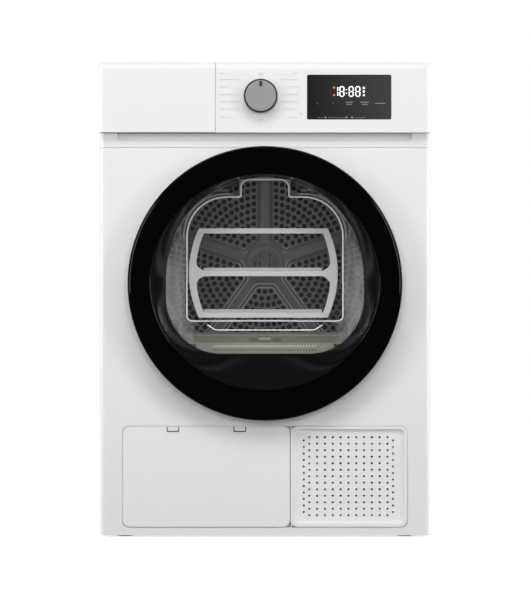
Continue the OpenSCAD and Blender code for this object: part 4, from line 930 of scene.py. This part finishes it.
# pitch of the filter's pegs and of its dark dots, which are painted shade in a row of small holes, pitch of
# its weave, and half the width of its head
PEG_PITCH, WEAVE_PITCH, FILTER_HALF = 5.4 * MM, 3.1 * MM, 141.5 * MM
PEG_PLACES = range(-17, 18)


def build_filter():
    """The lint filter's head: a mesh band, a ridge, a row of pegs and a clip; its mesh bag goes on below."""
    y0, y1 = FILTER_LOW.y, FILTER_HIGH.y
    z1 = FILTER_HIGH.z
    look, slot = LOOKS["filter_plastic"], "filter_plastic"
    half = FILTER_HALF
    head = plate("filter_head", [rect(0, z1 - 8 * MM, 2 * half, 16 * MM, 1.5 * MM)], y0 + 2.5 * MM,
                 y1 - 1 * MM, MESH_LOOK,
                 "filter", 0.5 * MM)
    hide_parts("lint_filter")
    bars = [rect(0, z1 - 0.9 * MM, 2 * half, 1.8 * MM, 0.4 * MM),
            rect(0, z1 - 15.2 * MM, 2 * half, 2.4 * MM, 0.6 * MM),
            rect(0, z1 - 26 * MM, 250 * MM, 19 * MM, 2 * MM)]
    prisms("filter_bars", bars, y0 + 0.6 * MM, y0 + 3.4 * MM, look, "filter")
    weave = []
    for i in range(-45, 46):
        x = i * WEAVE_PITCH
        for a, b in ((-1, 1), (1, -1)):
            weave.append(stroke(x + a * 3.3 * MM, z1 - 13.6 * MM, x + b * 3.3 * MM, z1 - 2 * MM, 0.6 * MM))
    prisms("filter_weave", weave, y0 + 1.9 * MM, y0 + 2.6 * MM, look, "filter")
    pegs = [rect(i * PEG_PITCH, z1 - 20.6 * MM, 2.2 * MM, 3.0 * MM, 0.6 * MM) for i in PEG_PLACES]
    prisms("filter_pegs", pegs, y0 + 0.1 * MM, y0 + 1.2 * MM, PEG_LOOK, "filter")
    # dark dots: painted shade in a row of small holes in the filter
    dots = [circle(i * PEG_PITCH, z1 - 27.5 * MM, 1.5 * MM, 10) for i in PEG_PLACES]
    prisms("filter_hole_shade", dots, y0 + 0.4 * MM, y0 + 1.2 * MM, DARK_MARK, "filter")
    clip = [rect(0, z1 - 7.2 * MM, 26 * MM, 9 * MM, 1 * MM),
            rect(-22 * MM, z1 - 8.6 * MM, 15 * MM, 6.5 * MM, 2.8 * MM),
            rect(22 * MM, z1 - 8.6 * MM, 15 * MM, 6.5 * MM, 2.8 * MM)]
    prisms("filter_clip", clip, y0 + 0.5 * MM, y0 + 2.7 * MM, MESH_LOOK, "filter")
    recess = [rect(0, z1 - 7.2 * MM, 22 * MM, 5.4 * MM, 0.8 * MM)]
    prisms("filter_clip_recess", recess, y0 + 0.2 * MM, y0 + 0.7 * MM, look, "filter")
    lows = filter_bag(z1)
    prisms("filter_bag", [lows], y0 + 3.6 * MM, y1 - 3 * MM, MESH_LOOK, "filter")


def filter_bag(z1):
    centre, radius, half = DRUM.z, 254 * MM, 128 * MM
    path = [Vector((-half, z1 - 17 * MM)), Vector((half, z1 - 17 * MM))]
    steps = 16
    for i in range(steps + 1):
        x = half - 2 * half * i / steps
        path.append(Vector((x, centre - math.sqrt(radius ** 2 - x ** 2))))
    return path


PEG_LOOK = finish_of("peg_plastic", grey(225), 0.4)


def build_catch_gaps():
    """Painted shade: a dark U-shaped band for the shade in the gap around each catch of the service flap."""
    width = 1.7 * MM
    bars = []
    for side in ("left", "right"):
        low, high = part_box(f"flap_catch_{side}")
        x, z0, z1 = (low.x + high.x) / 2, low.z - 0.6 * MM, high.z
        half = (high.x - low.x) / 2 + 0.4 * MM
        for edge in (-1, 1):
            bars.append(rect(x + edge * half, (z0 + z1) / 2, width, z1 - z0 + width, 0.3 * MM))
        bars.append(rect(x, z0, 2 * half, width, 0.3 * MM))
    y = FRONT_LOW.y
    # dark bands as painted shade in the gaps around the catches
    prisms("catch_gap_shade", bars, y - 0.06 * MM, y + 0.2 * MM, DARK_MARK, "flap")


# ---------------------------------------------------------------- carried-over CAD nodes

def carry_over():
    for row in frame["record"]["subparts"]:
        node = frame["nodes"][row["node"]]
        node.data.materials.clear()
        node.data.materials.append(LOOKS[row["material_slot"]])
        node.data.shade_smooth()
        node.data.set_sharp_from_angle(angle=math.radians(32))
    for name in ("display_window", "key_1", "key_2", "key_3", "key_4", "key_5"):
        # the display window and the keys carry the painted reflection, lighter towards one side
        frame["nodes"][name].data.materials[0] = DISPLAY_GLASS_SHEEN


# ---------------------------------------------------------------- stage

def area_light(name, place, aim, size, power, glossy=True):
    light = bpy.data.lights.new(name, "AREA")
    light.shape = "RECTANGLE"
    light.size, light.size_y = size
    light.energy = power
    lamp = bpy.data.objects.new(name, light)
    lamp.location = place
    lamp.rotation_euler = (Vector(aim) - Vector(place)).to_track_quat("-Z", "Y").to_euler()
    lamp.visible_glossy = glossy
    bpy.context.scene.collection.objects.link(lamp)


def floor_look():
    """White, a little lit from within, and fading out to the white backdrop far from the object."""
    mat = finish_of("floor", grey(250), 0.9, spread=0.004, bump=0.01)
    tree = mat.node_tree
    shader = tree.nodes["Principled BSDF"]
    shader.inputs["Emission Color"].default_value = (1, 1, 1, 1)
    shader.inputs["Emission Strength"].default_value = 0.75
    coords = tree.nodes.new("ShaderNodeTexCoord")
    far = tree.nodes.new("ShaderNodeVectorMath")
    far.operation = "LENGTH"
    fade = tree.nodes.new("ShaderNodeMapRange")
    fade.inputs["From Min"].default_value = FLOOR_R * 0.55
    fade.inputs["From Max"].default_value = FLOOR_R * 0.97
    clear = tree.nodes.new("ShaderNodeBsdfTransparent")
    blend = tree.nodes.new("ShaderNodeMixShader")
    tree.links.new(coords.outputs["Object"], far.inputs[0])
    tree.links.new(far.outputs["Value"], fade.inputs["Value"])
    tree.links.new(fade.outputs["Result"], blend.inputs["Fac"])
    tree.links.new(shader.outputs["BSDF"], blend.inputs[1])
    tree.links.new(clear.outputs["BSDF"], blend.inputs[2])
    tree.links.new(blend.outputs["Shader"], tree.nodes["Material Output"].inputs["Surface"])
    return mat


def build_stage():
    mesh = bpy.data.meshes.new("floor")
    bm = bmesh.new()
    bmesh.ops.create_circle(bm, cap_ends=True, radius=FLOOR_R, segments=128)
    bm.to_mesh(mesh)
    bm.free()
    mesh.materials.append(floor_look())
    floor = bpy.data.objects.new("floor", mesh)
    floor.visible_diffuse = False
    floor.visible_glossy = False
    bpy.context.scene.collection.objects.link(floor)
    world = bpy.data.worlds.new("studio")
    bpy.context.scene.world = world
    world.use_nodes = True
    tree = world.node_tree
    backdrop = tree.nodes["Background"]
    backdrop.inputs["Color"].default_value = (1, 1, 1, 1)
    backdrop.inputs["Strength"].default_value = 1.0
    room = tree.nodes.new("ShaderNodeBackground")
    room.inputs["Color"].default_value = (1, 1, 1, 1)
    room.inputs["Strength"].default_value = ROOM
    pick = tree.nodes.new("ShaderNodeMixShader")
    path = tree.nodes.new("ShaderNodeLightPath")
    tree.links.new(path.outputs["Is Camera Ray"], pick.inputs["Fac"])
    tree.links.new(room.outputs["Background"], pick.inputs[1])
    tree.links.new(backdrop.outputs["Background"], pick.inputs[2])
    tree.links.new(pick.outputs["Shader"], tree.nodes["World Output"].inputs["Surface"])
    for lamp in LAMPS:
        area_light(*lamp)


FLOOR_R = 2.8
ROOM = 0.05
LAMPS = (
    ("key", (0, -2.6, 3.0), (0, -0.3, 0.45), (3.2, 1.4), 56, False),
    ("left", (-2.2, -2.2, 1.1), (0, -0.2, 0.5), (0.5, 1.7), 20),
    ("right", (2.2, -2.2, 1.1), (0, -0.2, 0.5), (0.5, 1.7), 20),
    ("top", (0, 0.6, 3.4), (0, 0.2, 0), (4.0, 3.0), 26),
    ("fill", (0, -4.2, 0.9), (0, -0.2, 0.45), (2.2, 1.6), 56, False),
    ("back", (0, 3.0, 2.2), (0, 0.2, 0.4), (3.0, 1.6), 30),
    ("drum", (0, -0.10, 0.70), (0, 0.25, 0.42), (0.24, 0.05), 0.4, False),
    ("drum_low", (0, -0.05, 0.30), (0, 0.25, 0.47), (0.30, 0.05), 0.12, False),
    ("side_left", (-3.0, 0.1, 0.6), (0, -0.1, 0.45), (1.2, 1.4), 70, False),
    ("side_right", (3.0, 0.1, 0.6), (0, -0.1, 0.45), (1.2, 1.4), 70, False),
)


def build_camera():
    """Eye level with the drum's axis, far away and slightly shifted down."""
    eye = Vector((0.001, -4.512, 0.490))
    frame_height, frame_centre = 1.074, 0.425
    distance = FRONT_LOW.y - eye.y
    camera = bpy.data.cameras.new("camera")
    camera.sensor_width = 36
    camera.lens = camera.sensor_width * distance / frame_height
    camera.shift_y = (frame_centre - eye.z) / frame_height
    item = bpy.data.objects.new("camera", camera)
    item.location = eye
    item.rotation_euler = (math.pi / 2, 0, 0)
    bpy.context.scene.collection.objects.link(item)
    bpy.context.scene.camera = item
    bpy.context.scene.view_settings.view_transform = "Standard"


carry_over()
build_ring()
build_funnel()
build_bowl()
build_guard()
build_drum_back()
build_knob()
build_display()
build_prints()
build_filter()
build_catch_gaps()
build_stage()
build_camera()
